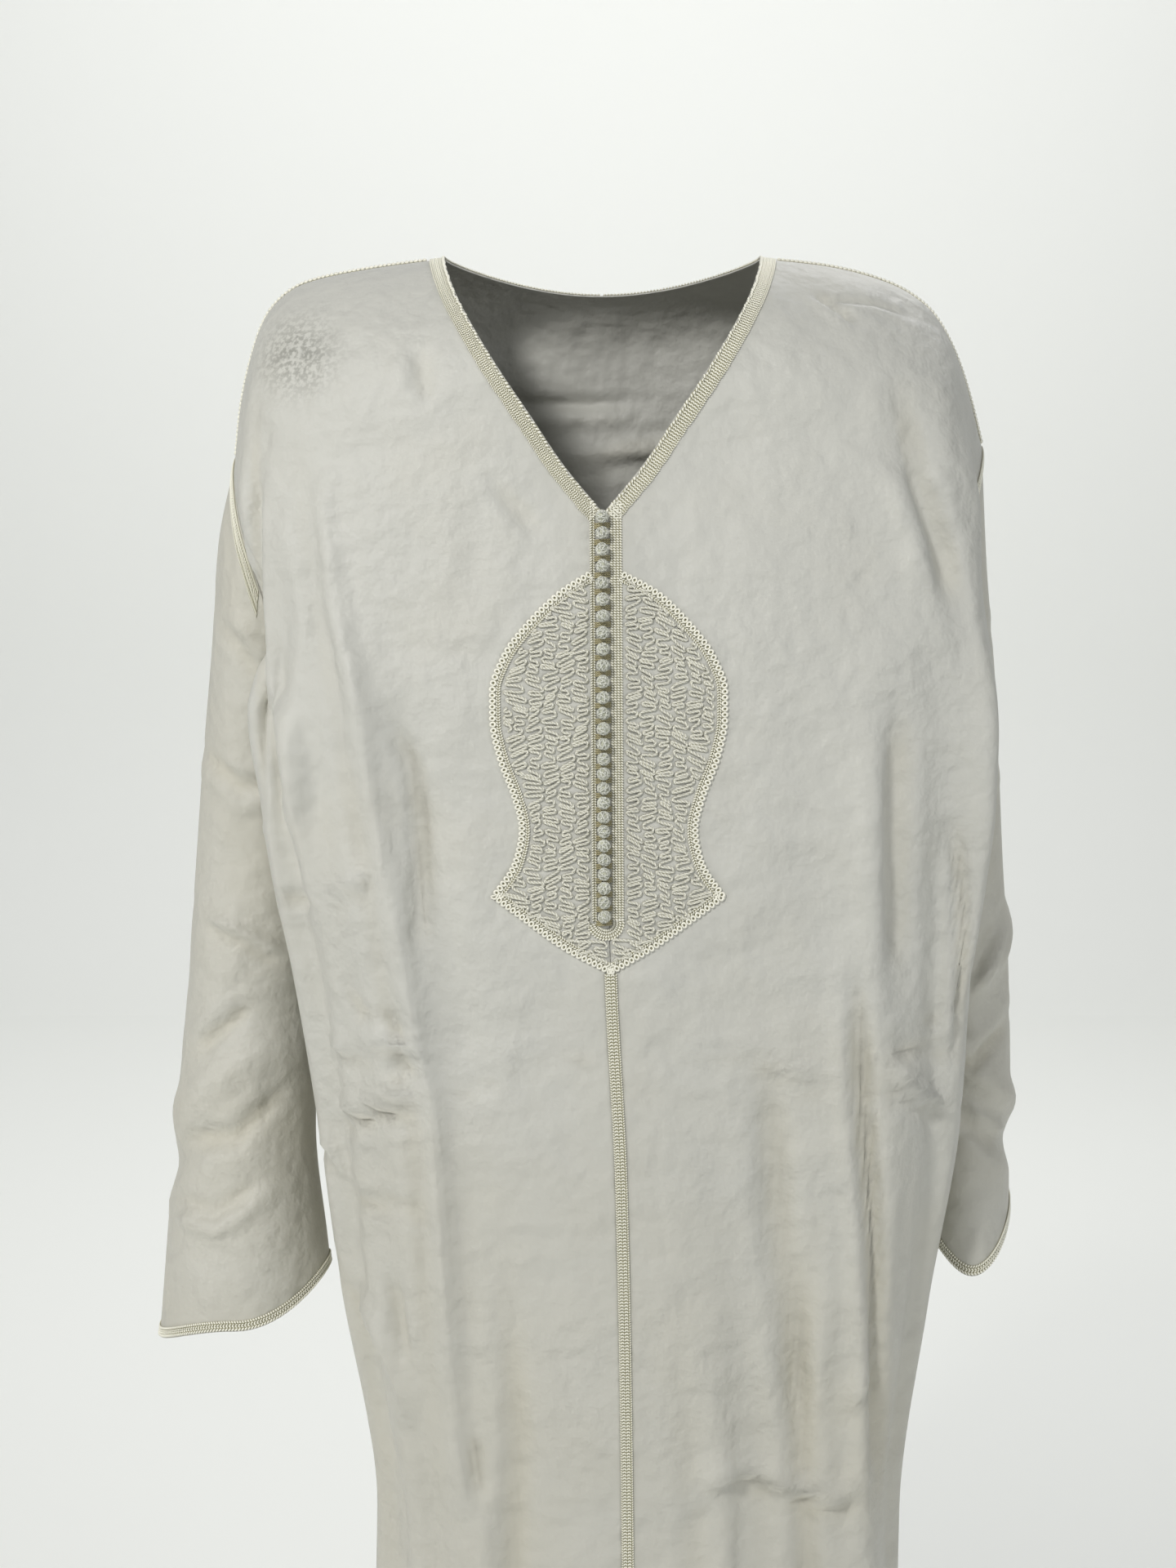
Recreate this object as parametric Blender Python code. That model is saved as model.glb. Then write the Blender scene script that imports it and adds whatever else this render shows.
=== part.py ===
"""A hoodless djellaba robe, filled out as if worn, with no wearer.

Metres, +Z up. The wearer faces -Y, so +X is the wearer's left. The origin is the middle of the neck
opening, level with the shoulder seams where they meet the neck. Every cloth piece is a closed wall.
"""

import math
from collections import namedtuple

import bmesh
import bpy
import numpy as np
from mathutils import Vector

for old in list(bpy.data.objects):
    bpy.data.objects.remove(old, do_unlink=True)

# Driving sizes
ROBE_LENGTH = 1.40
CLOTH_WALL = 0.0014
SEAM_GAP = 0.0003
UNDERARM_Z = -0.405
ARMHOLE_FALL = 0.85
TUCK_TURN = math.radians(148)
SHOULDER_ROLL = {"front": 0.100, "back": 0.060}
TIP_ROLL = 0.066
NECK_SHARE = 0.34
BACK_NECK_REACH = 0.70
LAY_GAP = 0.0008
BRAID_WALL = 0.0012
NECK_BRAID_WIDTH = 0.0100
SEAM_BRAID_WIDTH = 0.0080
ARMHOLE_BRAID_WIDTH = 0.0060
CUFF_BRAID_WIDTH = 0.0080
SHOULDER_CORD_WIDTH = 0.0036
SHOULDER_CORD_ENDS = (0.056, 0.997)
PLASTRON_WALL = 0.0016
PLASTRON_EDGE_WIDTH = 0.0065
PLASTRON_EDGE_WALL = 0.0026
BUTTON_COUNT = 27
BUTTON_DIAMETER = 0.0084
BUTTON_STOPS = (-0.1710, -0.3022, -0.4203)
SLIT_END_Z = -0.4345

RIGHT, LEFT = -1, 1
SIDE_NAMES = {RIGHT: "right", LEFT: "left"}

# The middle of the robe at each height: how far it leans to the side and stands off the back plane
Middle = namedtuple("Middle", "z lean front back")
MIDDLE = [
    Middle(0.000, 0.000, 0.085, 0.092),
    Middle(-0.100, 0.000, 0.112, 0.112),
    Middle(-0.170, 0.000, 0.125, 0.120),
    Middle(-0.250, 0.000, 0.136, 0.120),
    Middle(-0.350, 0.002, 0.142, 0.114),
    Middle(-0.460, 0.005, 0.146, 0.110),
    Middle(-0.600, 0.012, 0.148, 0.118),
    Middle(-0.800, 0.016, 0.143, 0.134),
    Middle(-1.000, 0.018, 0.145, 0.146),
    Middle(-1.200, 0.020, 0.155, 0.158),
    Middle(-1.400, 0.022, 0.166, 0.170),
]

# The side of the body: the widest line of the front cloth and of the back cloth
Side = namedtuple("Side", "z edge_x edge_y back_x back_y")
SIDES = {
    RIGHT: [
        Side(-0.131, 0.238, -0.060, 0.234, 0.060),
        Side(-0.200, 0.228, -0.070, 0.228, 0.084),
        Side(-0.235, 0.223, -0.072, 0.220, 0.090),
        Side(-0.300, 0.229, -0.074, 0.212, 0.094),
        Side(-0.360, 0.225, -0.072, 0.204, 0.094),
        Side(-0.405, 0.219, -0.070, 0.198, 0.092),
        Side(-0.470, 0.207, -0.064, 0.192, 0.086),
        Side(-0.570, 0.193, -0.054, 0.188, 0.078),
        Side(-0.700, 0.178, -0.046, 0.178, 0.062),
        Side(-0.854, 0.147, -0.044, 0.151, 0.060),
        Side(-1.000, 0.150, -0.046, 0.156, 0.060),
        Side(-1.200, 0.168, -0.048, 0.174, 0.060),
        Side(-1.400, 0.186, -0.050, 0.192, 0.060),
    ],
    LEFT: [
        Side(-0.123, 0.246, -0.060, 0.242, 0.060),
        Side(-0.200, 0.246, -0.074, 0.238, 0.086),
        Side(-0.310, 0.258, -0.082, 0.222, 0.100),
        Side(-0.360, 0.257, -0.080, 0.212, 0.102),
        Side(-0.405, 0.252, -0.078, 0.206, 0.100),
        Side(-0.470, 0.244, -0.076, 0.202, 0.096),
        Side(-0.570, 0.240, -0.070, 0.200, 0.088),
        Side(-0.700, 0.222, -0.060, 0.200, 0.072),
        Side(-0.854, 0.206, -0.050, 0.204, 0.062),
        Side(-1.000, 0.206, -0.048, 0.208, 0.060),
        Side(-1.200, 0.216, -0.048, 0.218, 0.060),
        Side(-1.400, 0.228, -0.050, 0.232, 0.060),
    ],
}

# The side seam below the underarm, and the degrees the front and the back cloth turn to reach it
Seam = namedtuple("Seam", "z x y turn back_turn")
SIDE_SEAMS = {
    RIGHT: [
        Seam(-0.405, 0.190, 0.021, 60, 60),
        Seam(-0.470, 0.180, 0.019, 84, 82),
        Seam(-0.570, 0.178, 0.016, 92, 90),
        Seam(-0.700, 0.170, 0.012, 92, 90),
        Seam(-0.854, 0.146, 0.010, 90, 90),
        Seam(-1.000, 0.150, 0.010, 90, 90),
        Seam(-1.200, 0.168, 0.006, 90, 90),
        Seam(-1.400, 0.186, 0.004, 90, 90),
    ],
    LEFT: [
        Seam(-0.405, 0.193, 0.028, 60, 60),
        Seam(-0.470, 0.186, 0.025, 84, 82),
        Seam(-0.570, 0.186, 0.020, 96, 90),
        Seam(-0.700, 0.190, 0.016, 96, 90),
        Seam(-0.854, 0.198, 0.010, 92, 90),
        Seam(-1.000, 0.204, 0.008, 90, 90),
        Seam(-1.200, 0.216, 0.006, 90, 90),
        Seam(-1.400, 0.228, 0.004, 90, 90),
    ],
}

# The widest line's share of the way across, and how far the section's curves keep their way
EDGE_SHARE = 0.75
FLAT_REACH = 0.66
TURN_REACH = 0.60
SIDE_REACH = 0.40

# How the upper edge's shape fades out below it, and how a hanging fold starts, ends and stays off the seams
TILT_FADE = 1.15
SLANT_FADE = 0.14
FOLD_START = 0.16
FOLD_END = 0.08
FOLD_FROM_MIDDLE = 0.10
FOLD_FROM_SIDE = 0.06

# Each sleeve at each height: its outer and inner sides, its middle from front to back and its half depth
Sleeve = namedtuple("Sleeve", "z outer inner mid_y half_depth")
SLEEVES = {
    RIGHT: [
        Sleeve(-0.131, 0.247, 0.163, 0.000, 0.060),
        Sleeve(-0.190, 0.261, 0.176, 0.006, 0.060),
        Sleeve(-0.260, 0.268, 0.186, 0.014, 0.060),
        Sleeve(-0.340, 0.277, 0.190, 0.020, 0.058),
        Sleeve(-0.405, 0.283, 0.190, 0.022, 0.056),
        Sleeve(-0.500, 0.291, 0.197, 0.020, 0.056),
        Sleeve(-0.600, 0.300, 0.202, 0.010, 0.057),
        Sleeve(-0.700, 0.308, 0.192, 0.000, 0.058),
        Sleeve(-0.760, 0.313, 0.190, -0.004, 0.058),
    ],
    LEFT: [
        Sleeve(-0.123, 0.256, 0.170, 0.000, 0.060),
        Sleeve(-0.200, 0.262, 0.180, 0.008, 0.060),
        Sleeve(-0.290, 0.272, 0.190, 0.018, 0.060),
        Sleeve(-0.405, 0.281, 0.193, 0.028, 0.058),
        Sleeve(-0.490, 0.288, 0.206, 0.034, 0.060),
        Sleeve(-0.580, 0.291, 0.214, 0.036, 0.066),
        Sleeve(-0.660, 0.291, 0.220, 0.034, 0.070),
        Sleeve(-0.720, 0.289, 0.222, 0.030, 0.072),
    ],
}

# The cuff's height at the outer, front, inner and back side of each sleeve
Cuff = namedtuple("Cuff", "outer front inner back")
CUFFS = {
    RIGHT: Cuff(-0.744, -0.724, -0.696, -0.726),
    LEFT: Cuff(-0.656, -0.692, -0.650, -0.638),
}

# The neckline's front edge, by its share of the way from the slit's top to the shoulder seam
Edge = namedtuple("Edge", "x z")
Neckline = namedtuple("Neckline", "share x z")
NECKLINE = [
    Neckline(0.00, 0.0000, -0.1680),
    Neckline(0.16, 0.0250, -0.1380),
    Neckline(0.32, 0.0460, -0.1070),
    Neckline(0.47, 0.0670, -0.0760),
    Neckline(0.60, 0.0840, -0.0480),
    Neckline(0.70, 0.0940, -0.0290),
    Neckline(0.80, 0.1005, -0.0130),
    Neckline(0.90, 0.1040, -0.0032),
    Neckline(1.00, 0.1050, 0.0000),
]

# The shoulder seam, from the neck to the tip on the upper arm
SHOULDERS = {
    RIGHT: [
        Edge(0.105, 0.000),
        Edge(0.157, -0.007),
        Edge(0.201, -0.017),
        Edge(0.223, -0.035),
        Edge(0.235, -0.064),
        Edge(0.243, -0.098),
        Edge(0.247, -0.131),
    ],
    LEFT: [
        Edge(0.105, 0.000),
        Edge(0.150, -0.005),
        Edge(0.192, -0.016),
        Edge(0.219, -0.033),
        Edge(0.236, -0.060),
        Edge(0.247, -0.090),
        Edge(0.256, -0.123),
    ],
}

# Hanging folds: where each crosses the panel at its top and foot, its ends, its height and its half width
Fold = namedtuple("Fold", "across_top across_foot top foot rise half_width")
FOLDS = {
    ("front", RIGHT): [
        Fold(0.350, 0.270, -0.15, -1.40, 0.008, 0.10),
        Fold(0.250, 0.200, -0.24, -0.56, -0.004, 0.06),
        Fold(0.480, 0.480, -0.20, -0.46, 0.006, 0.07),
        Fold(0.560, 0.540, -0.16, -1.40, -0.010, 0.10),
        Fold(0.700, 0.720, -0.70, -1.40, 0.010, 0.12),
        Fold(0.150, 0.130, -0.80, -1.40, -0.008, 0.10),
    ],
    ("front", LEFT): [
        Fold(0.280, 0.600, -0.24, -1.40, 0.007, 0.09),
        Fold(0.440, 0.780, -0.22, -1.40, -0.008, 0.10),
        Fold(0.600, 0.600, -0.16, -0.52, 0.007, 0.09),
        Fold(0.160, 0.240, -0.46, -1.40, -0.008, 0.11),
        Fold(0.300, 0.380, -0.80, -1.40, -0.010, 0.09),
    ],
    ("back", RIGHT): [
        Fold(0.150, 0.130, -0.20, -1.40, 0.010, 0.10),
        Fold(0.270, 0.260, -0.26, -1.40, -0.014, 0.09),
        Fold(0.400, 0.400, -0.18, -1.40, 0.014, 0.10),
        Fold(0.540, 0.540, -0.30, -1.40, -0.014, 0.09),
        Fold(0.680, 0.680, -0.60, -1.40, 0.014, 0.10),
    ],
    ("back", LEFT): [
        Fold(0.120, 0.120, -0.24, -1.40, 0.012, 0.10),
        Fold(0.250, 0.230, -0.30, -1.40, -0.012, 0.10),
        Fold(0.380, 0.380, -0.14, -1.40, 0.013, 0.10),
        Fold(0.520, 0.500, -0.34, -1.40, -0.015, 0.09),
        Fold(0.650, 0.650, -0.62, -1.40, 0.014, 0.10),
    ],
}

# Folds that run round a sleeve: middle height, slant down towards the front, rise and half height
Crease = namedtuple("Crease", "z slant angle reach rise half_height")
CREASES = {
    RIGHT: [
        Crease(-0.560, 0.030, 60, 110, 0.005, 0.022),
        Crease(-0.600, 0.034, 50, 120, -0.006, 0.024),
        Crease(-0.470, -0.020, 300, 90, -0.005, 0.024),
    ],
    LEFT: [
        Crease(-0.470, -0.030, 40, 100, 0.005, 0.020),
        Crease(-0.590, 0.030, 60, 110, -0.007, 0.024),
        Crease(-0.560, 0.030, 60, 110, 0.006, 0.020),
    ],
}

# The plastron's outline on each side of the slit, from its top point round to its foot
PLASTRON_OUTLINE = [
    Edge(0.0310, -0.2160),
    Edge(0.0520, -0.2360),
    Edge(0.0670, -0.2560),
    Edge(0.0750, -0.2790),
    Edge(0.0750, -0.2960),
    Edge(0.0700, -0.3220),
    Edge(0.0610, -0.3460),
    Edge(0.0565, -0.3660),
    Edge(0.0600, -0.3850),
    Edge(0.0750, -0.4090),
    Edge(0.0520, -0.4260),
    Edge(0.0280, -0.4430),
]
PLASTRON_TOP_Z = -0.2040
PLASTRON_FOOT_Z = -0.4585
PLASTRON_MIDDLE = 0.0035

# The edges of the two placket braids, measured across from the line of buttons
PLACKET_EDGES = {RIGHT: (-0.0079, -0.0041), LEFT: (0.0048, 0.0130)}
PLACKET_TOP_Z = {RIGHT: -0.1815, LEFT: -0.1800}
LOOPS_WIDTH = 0.0074
LOOPS_WALL = 0.0010
LOOP_BAR_RISE = 0.0012

IVORY = (0.78, 0.75, 0.66)
BRAID_IVORY = (0.80, 0.76, 0.62)
BUTTON_IVORY = (0.74, 0.73, 0.62)


def smooth(share):
    """0 to 1 with no slope at either end."""
    share = np.clip(share, 0.0, 1.0)
    return share * share * (3 - 2 * share)


def bell(share):
    """1 in the middle, 0 at a share of 1 and beyond."""
    return 0.5 + 0.5 * np.cos(np.pi * np.clip(np.abs(share), 0.0, 1.0))


def through(stops, values, at):
    """A smooth curve through the values at the rising stops."""
    stops, values = np.array(stops, float), np.array(values, float)
    steps = np.diff(values) / np.diff(stops)
    before, after = steps[:-1], steps[1:]
    turns = before * after <= 0
    inner = np.where(turns, 0.0, 2 * before * after / np.where(turns, 1.0, before + after))
    slopes = np.concatenate((steps[:1], inner, steps[-1:]))
    at = np.clip(at, stops[0], stops[-1])
    k = np.clip(np.searchsorted(stops, at, side="right") - 1, 0, len(stops) - 2)
    span = stops[k + 1] - stops[k]
    t = (at - stops[k]) / span
    return (
        values[k] * (1 + 2 * t) * (1 - t) ** 2
        + values[k + 1] * t * t * (3 - 2 * t)
        + slopes[k] * span * t * (1 - t) ** 2
        - slopes[k + 1] * span * t * t * (1 - t)
    )


def at_height(table, z):
    """The row of a table of heights, falling from the top, that holds at each height."""
    stops = [-row.z for row in table]
    columns = zip(*table)
    return type(table[0])(*(through(stops, column, -z) for column in columns))


def along(path, share):
    """The points at shares of the length of a path of edge points."""
    gaps = [math.hypot(b.x - a.x, b.z - a.z) for a, b in zip(path, path[1:])]
    stops = np.concatenate(([0.0], np.cumsum(gaps)))
    at = share * stops[-1]
    return Edge(through(stops, [p.x for p in path], at), through(stops, [p.z for p in path], at))


def xyz(x, y, z):
    return np.stack(np.broadcast_arrays(x, y, z), axis=-1)


def unit(vectors):
    return vectors / np.linalg.norm(vectors, axis=-1, keepdims=True)


def tip_z(side):
    return SHOULDERS[side][-1].z


def sleeve_point(side, angle, z):
    """The sleeve's tube: angle 0 is its outer side, a quarter turn its front, a half turn its inner side."""
    row = at_height(SLEEVES[side], z)
    rise = 0.0
    for crease in CREASES[side]:
        turn = np.angle(np.exp(1j * (angle - math.radians(crease.angle))))
        off = z - crease.z - crease.slant * np.sin(turn)
        rise = rise + crease.rise * bell(off / crease.half_height) * bell(turn / math.radians(crease.reach))
    x = (row.outer + row.inner) / 2 + ((row.outer - row.inner) / 2 + rise) * np.cos(angle)
    y = row.mid_y - (row.half_depth + rise) * np.sin(angle)
    return xyz(side * x, y, z)


def armhole_z(side, angle):
    """The armhole seam's height: level over the shoulder tip, and a point at the underarm."""
    share = (1 - np.cos(angle / 2)) ** ARMHOLE_FALL
    return tip_z(side) + (UNDERARM_Z - tip_z(side)) * share


def armhole_angle(side, z):
    """The turn from the sleeve's outer side at which the armhole seam is at this height."""
    share = np.clip((z - tip_z(side)) / (UNDERARM_Z - tip_z(side)), 0.0, 1.0)
    return 2 * np.arccos(1 - share ** (1 / ARMHOLE_FALL))


def rolled(drop, roll):
    """The share of its depth that the cloth has reached at this drop below the shoulder's ridge."""
    rest = 1 - np.clip(drop / roll, 0.0, 1.0)
    return np.sqrt(1 - rest * rest)


def side_point(side, face, z):
    """Where the body panel ends at this height, before its shoulder is rolled, and its way there in radians."""
    front = face == "front"
    seam = at_height(SIDE_SEAMS[side], z)
    turn = np.radians(seam.turn if front else seam.back_turn)
    z = np.minimum(z, tip_z(side) - 1e-6)
    angle = armhole_angle(side, z)
    end = sleeve_point(side, angle if front else -angle, z)
    tube = at_height(SLEEVES[side], z)
    reached = rolled(tip_z(side) - z, TIP_ROLL)
    half_width = (tube.outer - tube.inner) / 2
    flush = np.arctan2(tube.half_depth * np.cos(angle) / reached, half_width * np.sin(angle))
    tucked = smooth((angle - math.radians(60)) / math.radians(40))
    under = z < UNDERARM_Z
    x = np.where(under, side * seam.x, end[..., 0])
    y = np.where(under, seam.y, end[..., 1] / reached)
    return x, y, np.where(under, turn, flush + TUCK_TURN * tucked)


def section(side, face, across, z):
    """The body's horizontal section: 0 across is the middle line, 1 the armhole or side seam."""
    front = face == "front"
    forward = -1 if front else 1
    middle = at_height(MIDDLE, z)
    row = at_height(SIDES[side], z)
    end_x, end_y, turn = side_point(side, face, z)
    start_y = forward * (middle.front if front else middle.back)
    edge_x = side * (row.edge_x if front else row.back_x)
    edge_y = row.edge_y if front else row.back_y
    face_reach = TURN_REACH * (start_y - edge_y)
    side_reach = SIDE_REACH * np.hypot(end_x - edge_x, end_y - edge_y)
    on_side = across > EDGE_SHARE
    x = [
        np.where(on_side, later, sooner)
        for sooner, later in (
            (middle.lean, edge_x),
            (middle.lean + FLAT_REACH * (edge_x - middle.lean), edge_x),
            (edge_x, end_x - side * np.cos(turn) * side_reach),
            (edge_x, end_x),
        )
    ]
    y = [
        np.where(on_side, later, sooner)
        for sooner, later in (
            (start_y, edge_y),
            (start_y, edge_y - forward * side_reach),
            (edge_y + face_reach, end_y + forward * np.sin(turn) * side_reach),
            (edge_y, end_y),
        )
    ]
    t = np.where(on_side, (across - EDGE_SHARE) / (1 - EDGE_SHARE), across / EDGE_SHARE)
    point = [cubic(axis, t) for axis in (x, y)]
    slope_x, slope_y = (cubic_slope(axis, t) for axis in (x, y))
    out = unit(xyz(-forward * side * slope_y, forward * side * slope_x, 0.0))
    return xyz(*point, z) + out * fold_rise(side, face, across, z)[..., None]


def cubic(controls, t):
    a, b, c, d = controls
    r = 1 - t
    return a * r**3 + b * 3 * r * r * t + c * 3 * r * t * t + d * t**3


def cubic_slope(controls, t):
    a, b, c, d = controls
    r = 1 - t
    return (b - a) * r * r + (c - b) * 2 * r * t + (d - c) * t * t


def fold_rise(side, face, across, z):
    rise = np.zeros(np.broadcast(across, z).shape)
    for fold in FOLDS[face, side]:
        share = (fold.top - z) / (fold.top - fold.foot)
        line = fold.across_top + (fold.across_foot - fold.across_top) * share
        ends = smooth((fold.top - z) / FOLD_START)
        if fold.foot > -ROBE_LENGTH:
            ends = ends * smooth((z - fold.foot) / FOLD_END)
        rise = rise + fold.rise * ends * bell((across - line) / fold.half_width)
    return rise * smooth(across / FOLD_FROM_MIDDLE) * smooth((1 - across) / FOLD_FROM_SIDE)


def top_edge(side, face, across):
    """The panel's upper edge: the neckline, then the shoulder seam."""
    shoulder = along(SHOULDERS[side], np.clip((across - NECK_SHARE) / (1 - NECK_SHARE), 0.0, 1.0))
    share = np.clip(across / NECK_SHARE, 0.0, 1.0)
    if face == "front":
        x, z = (through([row.share for row in NECKLINE], axis, share) for axis in list(zip(*NECKLINE))[1:])
    else:
        reach = BACK_NECK_REACH * np.cos(np.pi / 2 * share)
        x = NECKLINE[-1].x * np.sin(np.pi / 2 * share)
        z = -SHOULDER_ROLL["back"] * (1 - np.sqrt(1 - reach**2))
    at_neck = across < NECK_SHARE
    return Edge(np.where(at_neck, x, shoulder.x), np.where(at_neck, z, shoulder.z))


def body_point(side, face, across, down):
    """A point of the body panel: down 0 is its upper edge, 1 the row at the underarm and 2 the hem."""
    across, down = np.broadcast_arrays(np.asarray(across, float), np.asarray(down, float))
    edge = top_edge(side, face, across)
    below = UNDERARM_Z + (-ROBE_LENGTH - UNDERARM_Z) * (down - 1)
    seam_z = np.where(down < 1, armhole_z(side, np.pi * np.minimum(down, 1)), below)
    z = seam_z + (edge.z - tip_z(side)) * (1 - smooth(down / TILT_FADE))
    point = section(side, face, across, np.minimum(z, tip_z(side)))
    at_edge = section(side, face, across, np.minimum(edge.z, tip_z(side)))
    fade = 1 - smooth((edge.z - z) / SLANT_FADE)
    x = point[..., 0] + (side * edge.x - at_edge[..., 0]) * fade
    ridge = np.where(across < NECK_SHARE, 0.0, edge.z)
    outer = smooth((across - NECK_SHARE) / (1 - NECK_SHARE))
    roll = SHOULDER_ROLL[face] + (TIP_ROLL - SHOULDER_ROLL[face]) * outer
    return xyz(x, point[..., 1] * rolled(ridge - z, roll), z)


def facing(place, a, b, most):
    """The outward direction of a surface at pairs of shares, from its slopes there."""
    step = 1e-3
    across = place(np.minimum(a + step, most[0]), b) - place(np.maximum(a - step, 0), b)
    down = place(a, np.minimum(b + step, most[1])) - place(a, np.maximum(b - step, 0))
    return unit(np.cross(across, down))


def body_facing(side, face, across, down):
    turned = -side if face == "front" else side
    return turned * facing(lambda a, b: body_point(side, face, a, b), across, down, (1, 2))


def nearest(place, targets, most, weights=(1, 1, 1)):
    """The pairs of shares at which a surface comes nearest to the targets, closing in on each."""
    weights = np.array(weights, float)
    coarse_a, coarse_b = (np.linspace(0, top, 81) for top in most)
    net = place(coarse_a[:, None], coarse_b[None, :]) * weights
    gaps = np.linalg.norm(net[None] - (targets * weights)[:, None, None], axis=-1)
    best = gaps.reshape(len(targets), -1).argmin(axis=1)
    a, b = coarse_a[best // 81], coarse_b[best % 81]
    reach_a, reach_b = (top / 80 for top in most)
    tries = np.linspace(-1, 1, 7)
    for _ in range(12):
        try_a = np.clip(a[:, None, None] + reach_a * tries[:, None], 0, most[0]) + 0 * tries
        try_b = np.clip(b[:, None, None] + reach_b * tries[None, :], 0, most[1]) + 0 * tries[:, None]
        gaps = np.linalg.norm((place(try_a, try_b) - targets[:, None, None]) * weights, axis=-1)
        best = gaps.reshape(len(targets), -1).argmin(axis=1)
        rows = np.arange(len(targets))
        a, b = try_a.reshape(len(targets), -1)[rows, best], try_b.reshape(len(targets), -1)[rows, best]
        reach_a, reach_b = reach_a * 0.5, reach_b * 0.5
    return a, b


def on_front(x, z):
    """Points of the robe's front at these places across and heights, and the directions out of it."""
    x, z = np.broadcast_arrays(np.asarray(x, float), np.asarray(z, float))
    points, outs = np.zeros((*x.shape, 3)), np.zeros((*x.shape, 3))
    lean = at_height(MIDDLE, z).lean
    for side in (RIGHT, LEFT):
        here = (x >= lean) if side == LEFT else (x < lean)
        if here.any():
            def place(a, b):
                return body_point(side, "front", a, b)

            across, down = nearest(place, xyz(x[here], 0, z[here]), (0.7, 2.0), (1, 0, 1))
            points[here] = place(across, down)
            outs[here] = body_facing(side, "front", across, down)
    return points, outs


ARMHOLE_STEPS = np.radians([0, 10, 22, 36, 52, 68, 84, 100, 116, 132, 148, 164, 180])
SKIRT_STEPS = 1 + np.array([0.05, 0.11, 0.18, 0.26, 0.35, 0.45, 0.56, 0.67, 0.78, 0.89, 1.0])
BODY_ROWS = np.concatenate((ARMHOLE_STEPS / np.pi, SKIRT_STEPS))
NECK_COLUMNS = NECK_SHARE * np.array([0, 0.08, 0.16, 0.24, 0.32, 0.40, 0.50, 0.60, 0.70, 0.80, 0.90])
SIDE_COLUMNS = np.array([0.80, 0.85, 0.90, 0.95, 1.0])
FRONT_COLUMNS = np.concatenate((NECK_COLUMNS, np.linspace(NECK_SHARE, EDGE_SHARE, 7), SIDE_COLUMNS))
BACK_NECK_COLUMNS = np.linspace(0, NECK_SHARE, 6)[:-1]
BACK_SIDE_COLUMNS = np.array([0.85, 0.95, 1.0])
BACK_COLUMNS = np.concatenate((BACK_NECK_COLUMNS, np.linspace(NECK_SHARE, EDGE_SHARE, 7), BACK_SIDE_COLUMNS))
SLEEVE_ROWS = np.array([0, 0.07, 0.15, 0.24, 0.33, 0.42, 0.51, 0.59, 0.67, 0.75, 0.83, 0.91, 1.0])


def material(name, colour, roughness):
    made = bpy.data.materials.new(name)
    made.use_nodes = True
    shader = made.node_tree.nodes["Principled BSDF"]
    shader.inputs["Base Color"].default_value = (*colour, 1)
    shader.inputs["Roughness"].default_value = roughness
    shader.inputs["Metallic"].default_value = 0.0
    return made


def finished(name, bm, mat):
    """The mesh as a named object of the scene, shaded smooth but for its sharp rims."""
    mesh = bpy.data.meshes.new(name)
    bm.to_mesh(mesh)
    bm.free()
    mesh.shade_smooth()
    mesh.set_sharp_from_angle(angle=math.radians(50))
    mesh.materials.append(mat)
    made = bpy.data.objects.new(name, mesh)
    bpy.context.scene.collection.objects.link(made)
    return made


def wall(name, points, outs, thickness, mat):
    """A closed wall: a grid bent through the outer points, then extruded a thickness inwards."""
    rows, columns = points.shape[:2]
    bm = bmesh.new()
    bmesh.ops.create_grid(bm, x_segments=columns - 1, y_segments=rows - 1, size=0.5)
    inward = bm.verts.layers.float_vector.new("inward")
    for vert in bm.verts:
        i = round((vert.co.x + 0.5) * (columns - 1))
        j = round((0.5 - vert.co.y) * (rows - 1))
        vert.co = points[j, i]
        vert[inward] = outs[j, i] * -thickness
    bmesh.ops.remove_doubles(bm, verts=bm.verts, dist=1e-6)
    grown = bmesh.ops.extrude_face_region(bm, geom=bm.faces[:], use_keep_orig=True)["geom"]
    for vert in grown:
        if isinstance(vert, bmesh.types.BMVert):
            vert.co += vert[inward]
    bmesh.ops.triangulate(bm, faces=bm.faces)
    bmesh.ops.recalc_face_normals(bm, faces=bm.faces)
    return finished(name, bm, mat)


def laid_on(name, points, outs, thickness, mat):
    """A wall lying on a surface, whose points and directions are given."""
    return wall(name, points + outs * (LAY_GAP + thickness), outs, thickness, mat)


def armhole_part(side, angle):
    """Half the seam's gap at the armhole, as the way from the body to the sleeve."""
    lift = (1 + np.cos(angle)) / 2
    return unit(xyz(side * (1 - lift), 0.0, -lift)) * SEAM_GAP / 2


def body_grid(side, face, columns):
    """Outer points and directions of a body panel, parted from its neighbours by the seam gaps."""
    across, down = np.meshgrid(columns, BODY_ROWS)
    points = body_point(side, face, across, down)
    outs = body_facing(side, face, across, down)
    forward = -1 if face == "front" else 1
    shoulder = columns >= NECK_SHARE
    outs[0, shoulder, 1] = 0
    below = BODY_ROWS >= 1
    outs[below, -1] = (side, 0, 0)
    outs[:, 0, 0] = 0
    outs = unit(outs)
    points[0, shoulder, 1] += forward * SEAM_GAP / 2
    points[below, -1, 1] += forward * SEAM_GAP / 2
    if face == "front":
        points[:, 0, 0] += side * SEAM_GAP / 2
    armhole = BODY_ROWS <= 1
    points[armhole, -1] -= armhole_part(side, np.pi * BODY_ROWS[armhole])
    return points, outs


def body_panels(cloth):
    for side in (RIGHT, LEFT):
        wall(f"front_{SIDE_NAMES[side]}", *body_grid(side, "front", FRONT_COLUMNS), CLOTH_WALL, cloth)
    right, left = (body_grid(side, "back", BACK_COLUMNS) for side in (RIGHT, LEFT))
    joined = [np.concatenate((r[:, :0:-1], l), axis=1) for r, l in zip(right, left)]
    wall("back", *joined, CLOTH_WALL, cloth)


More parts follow.
